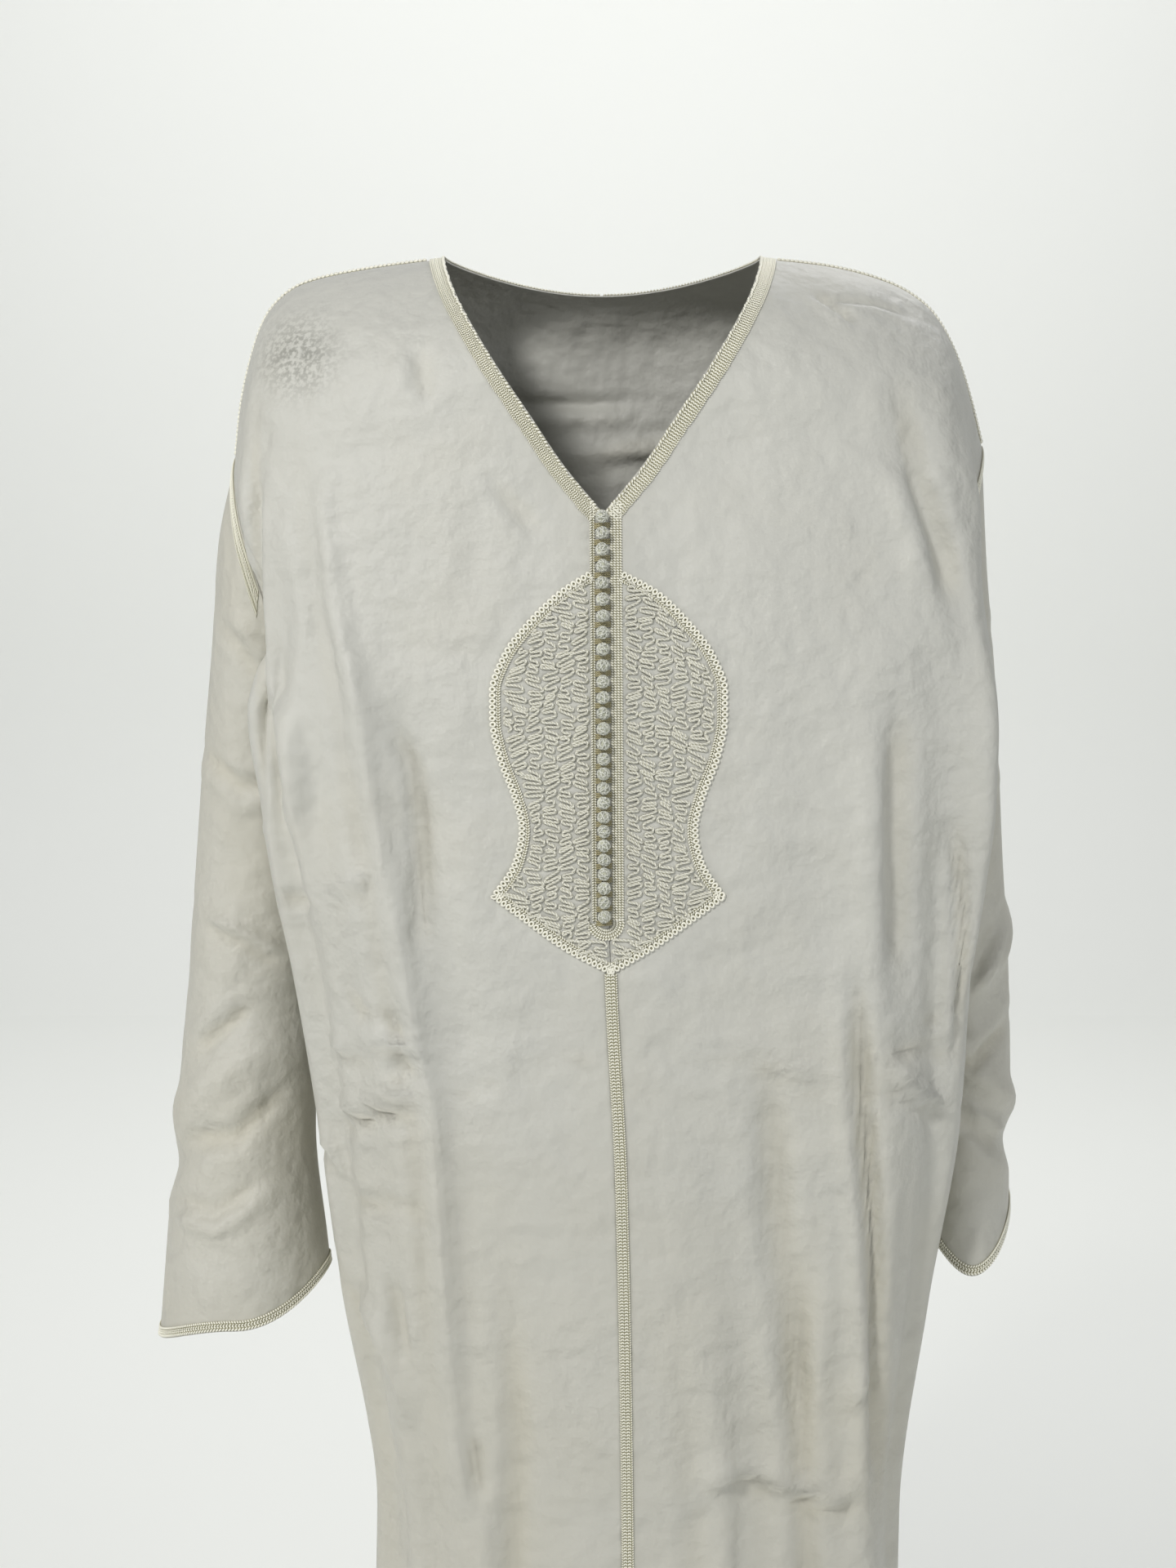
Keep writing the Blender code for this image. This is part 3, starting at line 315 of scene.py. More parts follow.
# Creases pressed and pulled into the cloth: how far each stands out, its half width and its line as (x, z)
Wrinkle = namedtuple("Wrinkle", "rise half_width line")
WRINKLES = {
    "front": [
        Wrinkle(0.0030, 0.011, (
            (-0.180, -0.099), (-0.179, -0.135), (-0.176, -0.173), (-0.169, -0.226), (-0.158, -0.271),
            (-0.149, -0.332), (-0.139, -0.387), (-0.127, -0.464), (-0.109, -0.544), (-0.102, -0.680),
            (-0.093, -0.816),
        )),
        Wrinkle(-0.0030, 0.009, ((-0.138, -0.291), (-0.121, -0.323), (-0.114, -0.361), (-0.115, -0.453))),
        Wrinkle(0.0030, 0.009, ((-0.218, -0.262), (-0.203, -0.302), (-0.197, -0.344), (-0.198, -0.383))),
        Wrinkle(-0.0030, 0.006, (
            (-0.223, -0.097), (-0.225, -0.227), (-0.222, -0.266), (-0.222, -0.320), (-0.221, -0.368),
        )),
        Wrinkle(0.0025, 0.007, (
            (-0.186, -0.519), (-0.161, -0.510), (-0.141, -0.506), (-0.124, -0.505), (-0.111, -0.516),
        )),
        Wrinkle(-0.0020, 0.006, ((-0.144, -0.484), (-0.125, -0.502))),
        Wrinkle(-0.0020, 0.006, ((-0.162, -0.474), (-0.156, -0.488), (-0.141, -0.493))),
        Wrinkle(-0.0020, 0.006, ((-0.140, -0.530), (-0.111, -0.518))),
        Wrinkle(0.0025, 0.008, ((-0.178, -0.561), (-0.134, -0.538), (-0.111, -0.544))),
        Wrinkle(-0.0020, 0.006, ((-0.175, -0.575), (-0.142, -0.555), (-0.111, -0.547))),
        Wrinkle(-0.0020, 0.008, ((-0.167, -0.622), (-0.134, -0.614), (-0.112, -0.617))),
        Wrinkle(0.0020, 0.007, ((-0.188, -0.581), (-0.167, -0.607))),
        Wrinkle(0.0030, 0.009, ((-0.168, -0.674), (-0.139, -0.712), (-0.127, -0.744), (-0.128, -0.769))),
        Wrinkle(-0.0020, 0.007, ((-0.137, -0.666), (-0.131, -0.719))),
        Wrinkle(-0.0020, 0.009, ((-0.084, -0.764), (-0.079, -0.814))),
        Wrinkle(-0.0020, 0.006, ((-0.211, -0.420), (-0.189, -0.420))),
        Wrinkle(0.0020, 0.007, ((-0.181, -0.414), (-0.149, -0.393))),
        Wrinkle(-0.0015, 0.012, ((-0.113, -0.064), (-0.113, -0.099))),
        Wrinkle(-0.0012, 0.010, ((-0.070, -0.149), (-0.040, -0.179))),
        Wrinkle(0.0015, 0.007, ((-0.075, -0.522), (-0.054, -0.507), (-0.026, -0.508))),
        Wrinkle(-0.0015, 0.007, ((-0.095, -0.537), (-0.064, -0.531))),
        Wrinkle(-0.0012, 0.004, ((-0.020, -0.514), (-0.001, -0.516))),
        Wrinkle(-0.0015, 0.004, ((0.015, -0.516), (0.023, -0.521))),
        Wrinkle(0.0020, 0.008, (
            (0.051, -0.507), (0.069, -0.501), (0.091, -0.504), (0.108, -0.512), (0.131, -0.525),
            (0.155, -0.523),
        )),
        Wrinkle(-0.0050, 0.010, (
            (0.162, -0.441), (0.167, -0.539), (0.178, -0.648), (0.182, -0.725), (0.185, -0.837),
        )),
        Wrinkle(-0.0020, 0.007, ((0.182, -0.510), (0.234, -0.522))),
        Wrinkle(0.0030, 0.008, ((0.182, -0.519), (0.212, -0.546), (0.232, -0.556))),
        Wrinkle(-0.0020, 0.006, ((0.209, -0.497), (0.234, -0.489))),
        Wrinkle(-0.0020, 0.005, ((0.167, -0.537), (0.188, -0.546))),
        Wrinkle(-0.0030, 0.016, ((0.105, -0.510), (0.121, -0.681), (0.134, -0.785))),
        Wrinkle(0.0030, 0.010, (
            (0.055, -0.814), (0.074, -0.791), (0.091, -0.788), (0.117, -0.799), (0.154, -0.815),
            (0.171, -0.805), (0.182, -0.803),
        )),
        Wrinkle(0.0020, 0.007, ((0.158, -0.747), (0.176, -0.733))),
        Wrinkle(-0.0020, 0.005, ((0.136, -0.027), (0.156, -0.041), (0.163, -0.048))),
        Wrinkle(-0.0010, 0.004, ((0.138, -0.030), (0.178, -0.033), (0.204, -0.042))),
        Wrinkle(-0.0030, 0.007, ((0.227, -0.366), (0.232, -0.413), (0.235, -0.469), (0.233, -0.529))),
        Wrinkle(-0.0040, 0.014, ((0.189, -0.089), (0.202, -0.147), (0.217, -0.189), (0.227, -0.231))),
        Wrinkle(-0.0035, 0.014, ((0.188, -0.285), (0.187, -0.366), (0.190, -0.474))),
        Wrinkle(0.0026, 0.016, ((-0.152, -0.650), (-0.130, -0.790), (-0.121, -0.930), (-0.127, -1.090))),
        Wrinkle(-0.0024, 0.014, ((-0.062, -0.640), (-0.054, -0.770), (-0.061, -0.930), (-0.052, -1.120))),
        Wrinkle(0.0022, 0.015, ((0.068, -0.690), (0.080, -0.820), (0.077, -0.970), (0.087, -1.130))),
        Wrinkle(-0.0024, 0.014, ((0.138, -0.600), (0.129, -0.720), (0.137, -0.870), (0.131, -1.030))),
    ],
    "back": [
        Wrinkle(0.0030, 0.012, ((-0.150, -0.120), (-0.140, -0.260), (-0.118, -0.420), (-0.105, -0.640))),
        Wrinkle(-0.0030, 0.010, ((0.140, -0.110), (0.128, -0.240), (0.104, -0.400), (0.090, -0.560))),
        Wrinkle(0.0020, 0.009, ((-0.120, -0.075), (-0.050, -0.092), (0.030, -0.090))),
        Wrinkle(-0.0018, 0.010, ((-0.020, -0.130), (0.070, -0.118), (0.120, -0.095))),
        Wrinkle(0.0028, 0.009, ((-0.170, -0.520), (-0.110, -0.508), (-0.050, -0.520), (0.010, -0.548))),
        Wrinkle(-0.0022, 0.008, ((-0.140, -0.548), (-0.060, -0.556), (-0.010, -0.582))),
        Wrinkle(0.0024, 0.008, ((0.180, -0.500), (0.120, -0.520), (0.070, -0.526))),
        Wrinkle(-0.0020, 0.007, ((0.165, -0.535), (0.110, -0.560), (0.060, -0.560))),
        Wrinkle(0.0026, 0.009, ((0.150, -0.640), (0.090, -0.662), (0.040, -0.655))),
        Wrinkle(-0.0022, 0.008, ((-0.165, -0.650), (-0.110, -0.690), (-0.080, -0.740))),
        Wrinkle(0.0024, 0.010, ((-0.060, -0.800), (-0.020, -0.850), (-0.008, -0.930))),
        Wrinkle(-0.0024, 0.010, ((0.130, -0.780), (0.110, -0.860), (0.112, -0.960))),
        Wrinkle(0.0020, 0.009, ((0.050, -1.020), (0.030, -1.120), (0.036, -1.210))),
        Wrinkle(-0.0020, 0.008, ((-0.130, -0.980), (-0.100, -1.050), (-0.098, -1.140))),
    ],
    "sleeve_right": [
        Wrinkle(0.0025, 0.007, ((-0.275, -0.439), (-0.243, -0.451), (-0.211, -0.469))),
        Wrinkle(-0.0025, 0.008, ((-0.238, -0.500), (-0.280, -0.538))),
        Wrinkle(0.0022, 0.009, ((-0.250, -0.230), (-0.225, -0.262), (-0.200, -0.270))),
        Wrinkle(-0.0020, 0.009, ((-0.272, -0.330), (-0.245, -0.352), (-0.212, -0.350))),
        Wrinkle(-0.0022, 0.010, ((-0.215, -0.560), (-0.250, -0.592), (-0.290, -0.600))),
        Wrinkle(0.0024, 0.009, ((-0.225, -0.630), (-0.262, -0.655), (-0.300, -0.650))),
    ],
    "sleeve_left": [
        Wrinkle(0.0020, 0.007, ((0.279, -0.451), (0.266, -0.480), (0.256, -0.494))),
        Wrinkle(0.0025, 0.008, ((0.250, -0.573), (0.282, -0.600))),
        Wrinkle(-0.0022, 0.010, ((0.262, -0.250), (0.235, -0.280), (0.205, -0.285))),
        Wrinkle(0.0020, 0.009, ((0.272, -0.350), (0.240, -0.372), (0.212, -0.366))),
        Wrinkle(-0.0022, 0.009, ((0.285, -0.520), (0.255, -0.545), (0.225, -0.540))),
    ],
}


def smooth(share):
    """0 to 1 with no slope at either end."""
    share = np.clip(share, 0.0, 1.0)
    return share * share * (3 - 2 * share)


def bell(share):
    """1 in the middle, 0 at a share of 1 and beyond."""
    return 0.5 + 0.5 * np.cos(np.pi * np.clip(np.abs(share), 0.0, 1.0))


def through(stops, values, at):
    """A smooth curve through the values at the rising stops."""
    stops, values = np.array(stops, float), np.array(values, float)
    steps = np.diff(values) / np.diff(stops)
    before, after = steps[:-1], steps[1:]
    turns = before * after <= 0
    inner = np.where(turns, 0.0, 2 * before * after / np.where(turns, 1.0, before + after))
    slopes = np.concatenate((steps[:1], inner, steps[-1:]))
    at = np.clip(at, stops[0], stops[-1])
    k = np.clip(np.searchsorted(stops, at, side="right") - 1, 0, len(stops) - 2)
    span = stops[k + 1] - stops[k]
    t = (at - stops[k]) / span
    return (
        values[k] * (1 + 2 * t) * (1 - t) ** 2
        + values[k + 1] * t * t * (3 - 2 * t)
        + slopes[k] * span * t * (1 - t) ** 2
        - slopes[k + 1] * span * t * t * (1 - t)
    )


def at_height(table, z):
    """The row of a table of heights, falling from the top, that holds at each height."""
    stops = [-row.z for row in table]
    columns = zip(*table)
    return type(table[0])(*(through(stops, column, -z) for column in columns))


def along(path, share):
    """The points at shares of the length of a path of edge points."""
    gaps = [math.hypot(b.x - a.x, b.z - a.z) for a, b in zip(path, path[1:])]
    stops = np.concatenate(([0.0], np.cumsum(gaps)))
    at = share * stops[-1]
    return Edge(through(stops, [p.x for p in path], at), through(stops, [p.z for p in path], at))


def xyz(x, y, z):
    return np.stack(np.broadcast_arrays(x, y, z), axis=-1)


def unit(vectors):
    return vectors / np.linalg.norm(vectors, axis=-1, keepdims=True)


def tip_z(side):
    return SHOULDERS[side][-1].z


def sleeve_point(side, angle, z):
    """The sleeve's tube: angle 0 is its outer side, a quarter turn its front, a half turn its inner side."""
    row = at_height(SLEEVES[side], z)
    rise = 0.0
    for crease in CREASES[side]:
        turn = np.angle(np.exp(1j * (angle - math.radians(crease.angle))))
        off = z - crease.z - crease.slant * np.sin(turn)
        rise = rise + crease.rise * bell(off / crease.half_height) * bell(turn / math.radians(crease.reach))
    x = (row.outer + row.inner) / 2 + ((row.outer - row.inner) / 2 + rise) * np.cos(angle)
    y = row.mid_y - (row.half_depth + rise) * np.sin(angle)
    return xyz(side * x, y, z)


def armhole_z(side, angle):
    """The armhole seam's height: level over the shoulder tip, and a point at the underarm."""
    share = (1 - np.cos(angle / 2)) ** ARMHOLE_FALL
    return tip_z(side) + (UNDERARM_Z - tip_z(side)) * share


def armhole_angle(side, z):
    """The turn from the sleeve's outer side at which the armhole seam is at this height."""
    share = np.clip((z - tip_z(side)) / (UNDERARM_Z - tip_z(side)), 0.0, 1.0)
    return 2 * np.arccos(1 - share ** (1 / ARMHOLE_FALL))


def rolled(drop, roll):
    """The share of its depth that the cloth has reached at this drop below the shoulder's ridge."""
    rest = 1 - np.clip(drop / roll, 0.0, 1.0)
    return np.sqrt(1 - rest * rest)


def side_point(side, face, z):
    """Where the body panel ends at this height and its way there, before its shoulder is rolled."""
    front = face == "front"
    seam = at_height(SIDE_SEAMS[side], z)
    turn = np.radians(seam.turn if front else seam.back_turn)
    z = np.minimum(z, tip_z(side) - 1e-6)
    angle = armhole_angle(side, z)
    end = sleeve_point(side, angle if front else -angle, z)
    tube = at_height(SLEEVES[side], z)
    reached = rolled(tip_z(side) - z, TIP_ROLL)
    half_width = (tube.outer - tube.inner) / 2
    flush = np.arctan2(tube.half_depth * np.cos(angle) / reached, half_width * np.sin(angle))
    tucked = smooth((angle - math.radians(60)) / math.radians(40))
    under = z < UNDERARM_Z
    x = np.where(under, side * seam.x, end[..., 0])
    y = np.where(under, seam.y, end[..., 1] / reached)
    return x, y, np.where(under, turn, flush + TUCK_TURN * tucked)


def section(side, face, across, z):
    """The body's horizontal section: 0 across is the middle line, 1 the armhole or side seam."""
    front = face == "front"
    forward = -1 if front else 1
    middle = at_height(MIDDLE, z)
    row = at_height(SIDES[side], z)
    end_x, end_y, turn = side_point(side, face, z)
    start_y = forward * (middle.front if front else middle.back)
    edge_x = side * (row.edge_x if front else row.back_x)
    edge_y = row.edge_y if front else row.back_y
    face_reach = TURN_REACH * (start_y - edge_y)
    side_reach = SIDE_REACH * np.hypot(end_x - edge_x, end_y - edge_y)
    on_side = across > EDGE_SHARE
    x = [
        np.where(on_side, later, sooner)
        for sooner, later in (
            (middle.lean, edge_x),
            (middle.lean + FLAT_REACH * (edge_x - middle.lean), edge_x),
            (edge_x, end_x - side * np.cos(turn) * side_reach),
            (edge_x, end_x),
        )
    ]
    y = [
        np.where(on_side, later, sooner)
        for sooner, later in (
            (start_y, edge_y),
            (start_y, edge_y - forward * side_reach),
            (edge_y + face_reach, end_y + forward * np.sin(turn) * side_reach),
            (edge_y, end_y),
        )
    ]
    t = np.where(on_side, (across - EDGE_SHARE) / (1 - EDGE_SHARE), across / EDGE_SHARE)
    point = [cubic(axis, t) for axis in (x, y)]
    slope_x, slope_y = (cubic_slope(axis, t) for axis in (x, y))
    out = unit(xyz(-forward * side * slope_y, forward * side * slope_x, 0.0))
    return xyz(*point, z) + out * fold_rise(side, face, across, z)[..., None]


def cubic(controls, t):
    a, b, c, d = controls
    r = 1 - t
    return a * r**3 + b * 3 * r * r * t + c * 3 * r * t * t + d * t**3


def cubic_slope(controls, t):
    a, b, c, d = controls
    r = 1 - t
    return (b - a) * r * r + (c - b) * 2 * r * t + (d - c) * t * t


def fold_rise(side, face, across, z):
    rise = np.zeros(np.broadcast(across, z).shape)
    for fold in FOLDS[face, side]:
        share = (fold.top - z) / (fold.top - fold.foot)
        line = fold.across_top + (fold.across_foot - fold.across_top) * share
        ends = smooth((fold.top - z) / FOLD_START)
        if fold.foot > -ROBE_LENGTH:
            ends = ends * smooth((z - fold.foot) / FOLD_END)
        rise = rise + fold.rise * ends * bell((across - line) / fold.half_width)
    return rise * smooth(across / FOLD_FROM_MIDDLE) * smooth((1 - across) / FOLD_FROM_SIDE)


def top_edge(side, face, across):
    """The panel's upper edge: the neckline, then the shoulder seam."""
    shoulder = along(SHOULDERS[side], np.clip((across - NECK_SHARE) / (1 - NECK_SHARE), 0.0, 1.0))
    share = np.clip(across / NECK_SHARE, 0.0, 1.0)
    if face == "front":
        x, z = (through([row.share for row in NECKLINE], axis, share) for axis in list(zip(*NECKLINE))[1:])
    else:
        reach = BACK_NECK_REACH * np.cos(np.pi / 2 * share)
        x = NECKLINE[-1].x * np.sin(np.pi / 2 * share)
        z = -SHOULDER_ROLL["back"] * (1 - np.sqrt(1 - reach**2))
    at_neck = across < NECK_SHARE
    return Edge(np.where(at_neck, x, shoulder.x), np.where(at_neck, z, shoulder.z))


def body_point(side, face, across, down):
    """A point of the body panel: down 0 is its upper edge, 1 the row at the underarm and 2 the hem."""
    across, down = np.broadcast_arrays(np.asarray(across, float), np.asarray(down, float))
    edge = top_edge(side, face, across)
    below = UNDERARM_Z + (-ROBE_LENGTH - UNDERARM_Z) * (down - 1)
    seam_z = np.where(down < 1, armhole_z(side, np.pi * np.minimum(down, 1)), below)
    z = seam_z + (edge.z - tip_z(side)) * (1 - smooth(down / TILT_FADE))
    point = section(side, face, across, np.minimum(z, tip_z(side)))
    at_edge = section(side, face, across, np.minimum(edge.z, tip_z(side)))
    fade = 1 - smooth((edge.z - z) / SLANT_FADE)
    x = point[..., 0] + (side * edge.x - at_edge[..., 0]) * fade
    ridge = np.where(across < NECK_SHARE, 0.0, edge.z)
    outer = smooth((across - NECK_SHARE) / (1 - NECK_SHARE))
    roll = SHOULDER_ROLL[face] + (TIP_ROLL - SHOULDER_ROLL[face]) * outer
    return xyz(x, point[..., 1] * rolled(ridge - z, roll), z)


def facing(place, a, b, most):
    """The outward direction of a surface at pairs of shares, from its slopes there."""
    step = 1e-3
    across = place(np.minimum(a + step, most[0]), b) - place(np.maximum(a - step, 0), b)
    down = place(a, np.minimum(b + step, most[1])) - place(a, np.maximum(b - step, 0))
    return unit(np.cross(across, down))


def body_facing(side, face, across, down):
    turned = -side if face == "front" else side
    return turned * facing(lambda a, b: body_point(side, face, a, b), across, down, (1, 2))


def armhole_part(side, angle):
    """Half the seam's gap at the armhole, as the way from the body to the sleeve."""
    lift = (1 + np.cos(angle)) / 2
    return unit(xyz(side * (1 - lift), 0.0, -lift)) * SEAM_GAP / 2


def cuff_z(side, angle):
    cuff = CUFFS[side]
    front, back = np.maximum(np.sin(angle), 0) ** 2, np.maximum(-np.sin(angle), 0) ** 2
    outer, inner = np.maximum(np.cos(angle), 0) ** 2, np.maximum(-np.cos(angle), 0) ** 2
    return cuff.front * front + cuff.back * back + cuff.outer * outer + cuff.inner * inner


def sleeve_surface(side, turns, down):
    """A point of the sleeve, by its turns from the outer side: down 0 is the armhole seam, 1 the cuff."""
    angle = 2 * np.pi * turns
    around = np.abs(np.angle(np.exp(1j * angle)))
    top, foot = armhole_z(side, around), cuff_z(side, angle)
    return sleeve_point(side, angle, top + (foot - top) * down)


def sleeve_facing(side, turns, down):
    """The outward direction of the sleeve."""
    step = 1e-3
    around = sleeve_surface(side, turns + step, down) - sleeve_surface(side, turns - step, down)
    lower, upper = np.minimum(down + step, 1), np.maximum(down - step, 0)
    drop = sleeve_surface(side, turns, lower) - sleeve_surface(side, turns, upper)
    return side * unit(np.cross(around, drop))


def button_x(z):
    """The line of buttons, which runs beside the front seam."""
    return -0.0008 + 0.0016 * (z - BUTTON_STOPS[0]) / (BUTTON_STOPS[2] - BUTTON_STOPS[0])


def button_heights():
    return through((1, (BUTTON_COUNT + 1) / 2, BUTTON_COUNT), BUTTON_STOPS, np.arange(1, BUTTON_COUNT + 1))


def side_edge(side):
    """How far across the plastron starts, clear of the placket's braid."""
    return PLACKET_EDGES[side][0 if side == RIGHT else 1] + side * SEAM_GAP


# The grids of the fine cloth, and the clear strip along each seam that no crease crosses
FRONT_GRID = (76, 250)
BACK_GRID = (66, 230)
SLEEVE_GRID = (72, 110)
SEAM_CLEAR = 0.016
WRINKLE_STRENGTH = 2.5
HEM_DEPTH = 0.022
SOIL_PLACE = (-0.196, -0.068)
SOIL_REACH = 0.042


def wrinkle_rise(wrinkles, x, z):
    """How far the creases stand out at each place, each with a ridge and a softer hollow beside it."""
    rise = np.zeros(np.broadcast(x, z).shape)
    for wrinkle in wrinkles:
        line = np.array(wrinkle.line)
        steps = np.diff(line, axis=0)
        lengths = np.linalg.norm(steps, axis=-1)
        stops = np.concatenate(([0.0], np.cumsum(lengths)))
        nearest_gap = np.full(rise.shape, np.inf)
        offset, share = np.zeros(rise.shape), np.zeros(rise.shape)
        for start, step, length, stop in zip(line, steps, lengths, stops):
            t = np.clip(((x - start[0]) * step[0] + (z - start[1]) * step[1]) / length**2, 0, 1)
            away_x, away_z = x - start[0] - t * step[0], z - start[1] - t * step[1]
            gap = np.hypot(away_x, away_z)
            closer = gap < nearest_gap
            nearest_gap = np.where(closer, gap, nearest_gap)
            offset = np.where(closer, np.copysign(gap, step[0] * away_z - step[1] * away_x), offset)
            share = np.where(closer, (stop + t * length) / stops[-1], share)
        taper = smooth(share / 0.25) * smooth((1 - share) / 0.25) * 0.85 + 0.15
        profile = bell(offset / wrinkle.half_width) - 0.45 * bell(offset / wrinkle.half_width + 1.3)
        rise = rise + WRINKLE_STRENGTH * wrinkle.rise * taper * profile
    return rise


def fine_body_point(side, face, across, down):
    """The body panel with its creases, which fade out beside the seams and the neck."""
    point = body_point(side, face, across, down)
    x, z = point[..., 0], point[..., 2]
    rise = wrinkle_rise(WRINKLES[face], x, z)
    reach = 0.45
    clear = smooth(across * reach / SEAM_CLEAR) if face == "front" else 1.0
    clear = clear * smooth((1 - across) * reach / SEAM_CLEAR) * smooth(down * 0.6 / SEAM_CLEAR)
    hem = 0.0006 * (1 - smooth((z + ROBE_LENGTH - HEM_DEPTH) / 0.003))
    return point + body_facing(side, face, across, down) * (rise * clear + hem)[..., None]


def body_directions(side, face, across, down):
    turned = -side if face == "front" else side
    return turned * facing(lambda a, b: fine_body_point(side, face, a, b), across, down, (1, 2))


def fine_sleeve(side, turns, down):
    """The sleeve with its creases, front and back, which fade out at the armhole and the cuff."""
    point = sleeve_surface(side, turns, down)
    rise = wrinkle_rise(WRINKLES[f"sleeve_{SIDE_NAMES[side]}"], point[..., 0], point[..., 2])
    clear = smooth(down / 0.06) * smooth((1 - down) / 0.06)
    return point + sleeve_facing(side, turns, down) * (rise * clear)[..., None]


class Patch:
    """A stretch of the robe's surface, with the lengths along and across it."""

    def __init__(self, points, outs, across=None):
        self.points, self.outs = points, outs
        self.along = lengths(points[:, points.shape[1] // 2])
        self.across = lengths(points[len(points) // 2]) if across is None else across

    @property
    def length(self):
        return self.along[-1]

    def at(self, along, across):
        i, s = cell(self.along, along)
        j, t = cell(self.across, across)
        s, t = s[..., None], t[..., None]
        corners = (
            (i, j, (1 - s) * (1 - t)), (i + 1, j, s * (1 - t)),
            (i, j + 1, (1 - s) * t), (i + 1, j + 1, s * t),
        )
        point = sum(self.points[a, b] * share for a, b, share in corners)
        return point, unit(sum(self.outs[a, b] * share for a, b, share in corners))

    def bend(self, mesh):
        """Lays a mesh made flat, along +X, across +Y and out +Z, on this stretch."""
        flat = flat_points(mesh)
        # The height over the cloth, which sets the painted shade low on the strands.
        height = mesh.attributes.new("height", "FLOAT", "POINT")
        height.data.foreach_set("value", flat[:, 2].astype(float))
        point, out = self.at(flat[:, 0], flat[:, 1])
        mesh.vertices.foreach_set("co", (point + out * flat[:, 2:]).ravel())
        return mesh


def flat_points(mesh):
    flat = np.zeros(len(mesh.vertices) * 3)
    mesh.vertices.foreach_get("co", flat)
    return flat.reshape(-1, 3)


def lengths(points):
    return np.concatenate(([0.0], np.cumsum(np.linalg.norm(np.diff(points, axis=0), axis=-1))))


def cell(stops, at):
    """The interval of the rising stops that holds each value, and the share of the way through it."""
    k = np.clip(np.searchsorted(stops, at, side="right") - 1, 0, len(stops) - 2)
    return k, np.clip((at - stops[k]) / (stops[k + 1] - stops[k]), -0.5, 1.5)


@lru_cache
def front_patch():
    """The robe's front about its middle, as points at even places across and down."""
    across = np.linspace(-0.095, 0.095, 96)
    down = np.linspace(-0.160, -1.398, 330)
    points, outs = np.zeros((len(down), len(across), 3)), np.zeros((len(down), len(across), 3))
    shares = np.linspace(0, 0.6, 61)
    rows = np.linspace(0, 2, 700)
    for side in (RIGHT, LEFT):
        net = fine_body_point(side, "front", shares[None], rows[:, None])
        flat = 0 * rows[:, None] * shares[None]
        facings = body_directions(side, "front", shares[None] + flat, rows[:, None] + flat)
        level = [interpolated_rows(net, facings, z) for z in down]
        for k, (line, ways) in enumerate(level):
            here = (across >= line[0, 0]) if side == LEFT else (across < line[0, 0])
            order = slice(None) if side == LEFT else slice(None, None, -1)
            for axis in range(3):
                points[k, here, axis] = np.interp(across[here], line[order, 0], line[order, axis])
                outs[k, here, axis] = np.interp(across[here], line[order, 0], ways[order, axis])
    patch = Patch(points, unit(outs), across)
    patch.along = -down
    return patch


def interpolated_rows(net, facings, z):
    """One level line of a net whose columns fall from top to foot."""
    line, ways = np.zeros((net.shape[1], 3)), np.zeros((net.shape[1], 3))
    for j in range(net.shape[1]):
        fall = -net[:, j, 2]
        for axis in range(3):
            line[j, axis] = np.interp(-z, fall, net[:, j, axis])
            ways[j, axis] = np.interp(-z, fall, facings[:, j, axis])
    return line, ways


def linked(name, mesh, finish):
    made = bpy.data.objects.new(name, mesh)
    bpy.context.scene.collection.objects.link(made)
    mesh.materials.clear()
    mesh.materials.append(finish)
    return made


def bent_grid(name, points, outs, values, closed=False):
    """A grid bent through the points, with its lengths as UVs and named values at its corners."""
    rows, columns = points.shape[:2]
    bm = bmesh.new()
    bmesh.ops.create_grid(bm, x_segments=columns - 1, y_segments=rows - 1, size=0.5)
    for face in bm.faces:
        face.smooth = True
    mesh = bpy.data.meshes.new(name)
    bm.to_mesh(mesh)
    bm.free()
    flat = np.zeros(len(mesh.vertices) * 3)
    mesh.vertices.foreach_get("co", flat)
    flat = flat.reshape(-1, 3)
    i = np.rint((flat[:, 0] + 0.5) * (columns - 1)).astype(int)
    j = np.rint((0.5 - flat[:, 1]) * (rows - 1)).astype(int)
    mesh.vertices.foreach_set("co", points[j, i].ravel())
    across, along = (lengths(points[rows // 2])[i], lengths(points[:, columns // 2])[j])
    corners = np.zeros(len(mesh.loops), int)
    mesh.loops.foreach_get("vertex_index", corners)
    uvs = mesh.uv_layers.new(name="cloth")
    uvs.data.foreach_set("uv", np.stack((across, along), axis=-1)[corners].ravel())
    for key, value in values.items():
        layer = mesh.attributes.new(key, "FLOAT", "POINT")
        layer.data.foreach_set("value", np.broadcast_to(value, (rows, columns))[j, i].astype(float))
    mesh.update()
    bm = bmesh.new()
    bm.from_mesh(mesh)
    if closed:
        bmesh.ops.remove_doubles(bm, verts=bm.verts, dist=1e-6)
    bm.normal_update()
    bm.verts.ensure_lookup_table()
    faces = bm.faces[:]
    sample = faces[len(faces) // 2]
    middle = sample.calc_center_median()
    gaps = np.linalg.norm(points.reshape(-1, 3) - np.array(middle), axis=-1)
    nearest_out = outs.reshape(-1, 3)[np.argmin(gaps)]
    if sample.normal.dot(Vector(nearest_out)) < 0:
        bmesh.ops.reverse_faces(bm, faces=faces)
    bm.to_mesh(mesh)
    bm.free()
    return mesh


def walled(made, thickness):
    """Gives a thin sheet its wall, inwards."""
    wall = made.modifiers.new("wall", "SOLIDIFY")
    wall.thickness = thickness
    wall.offset = -1
    return made


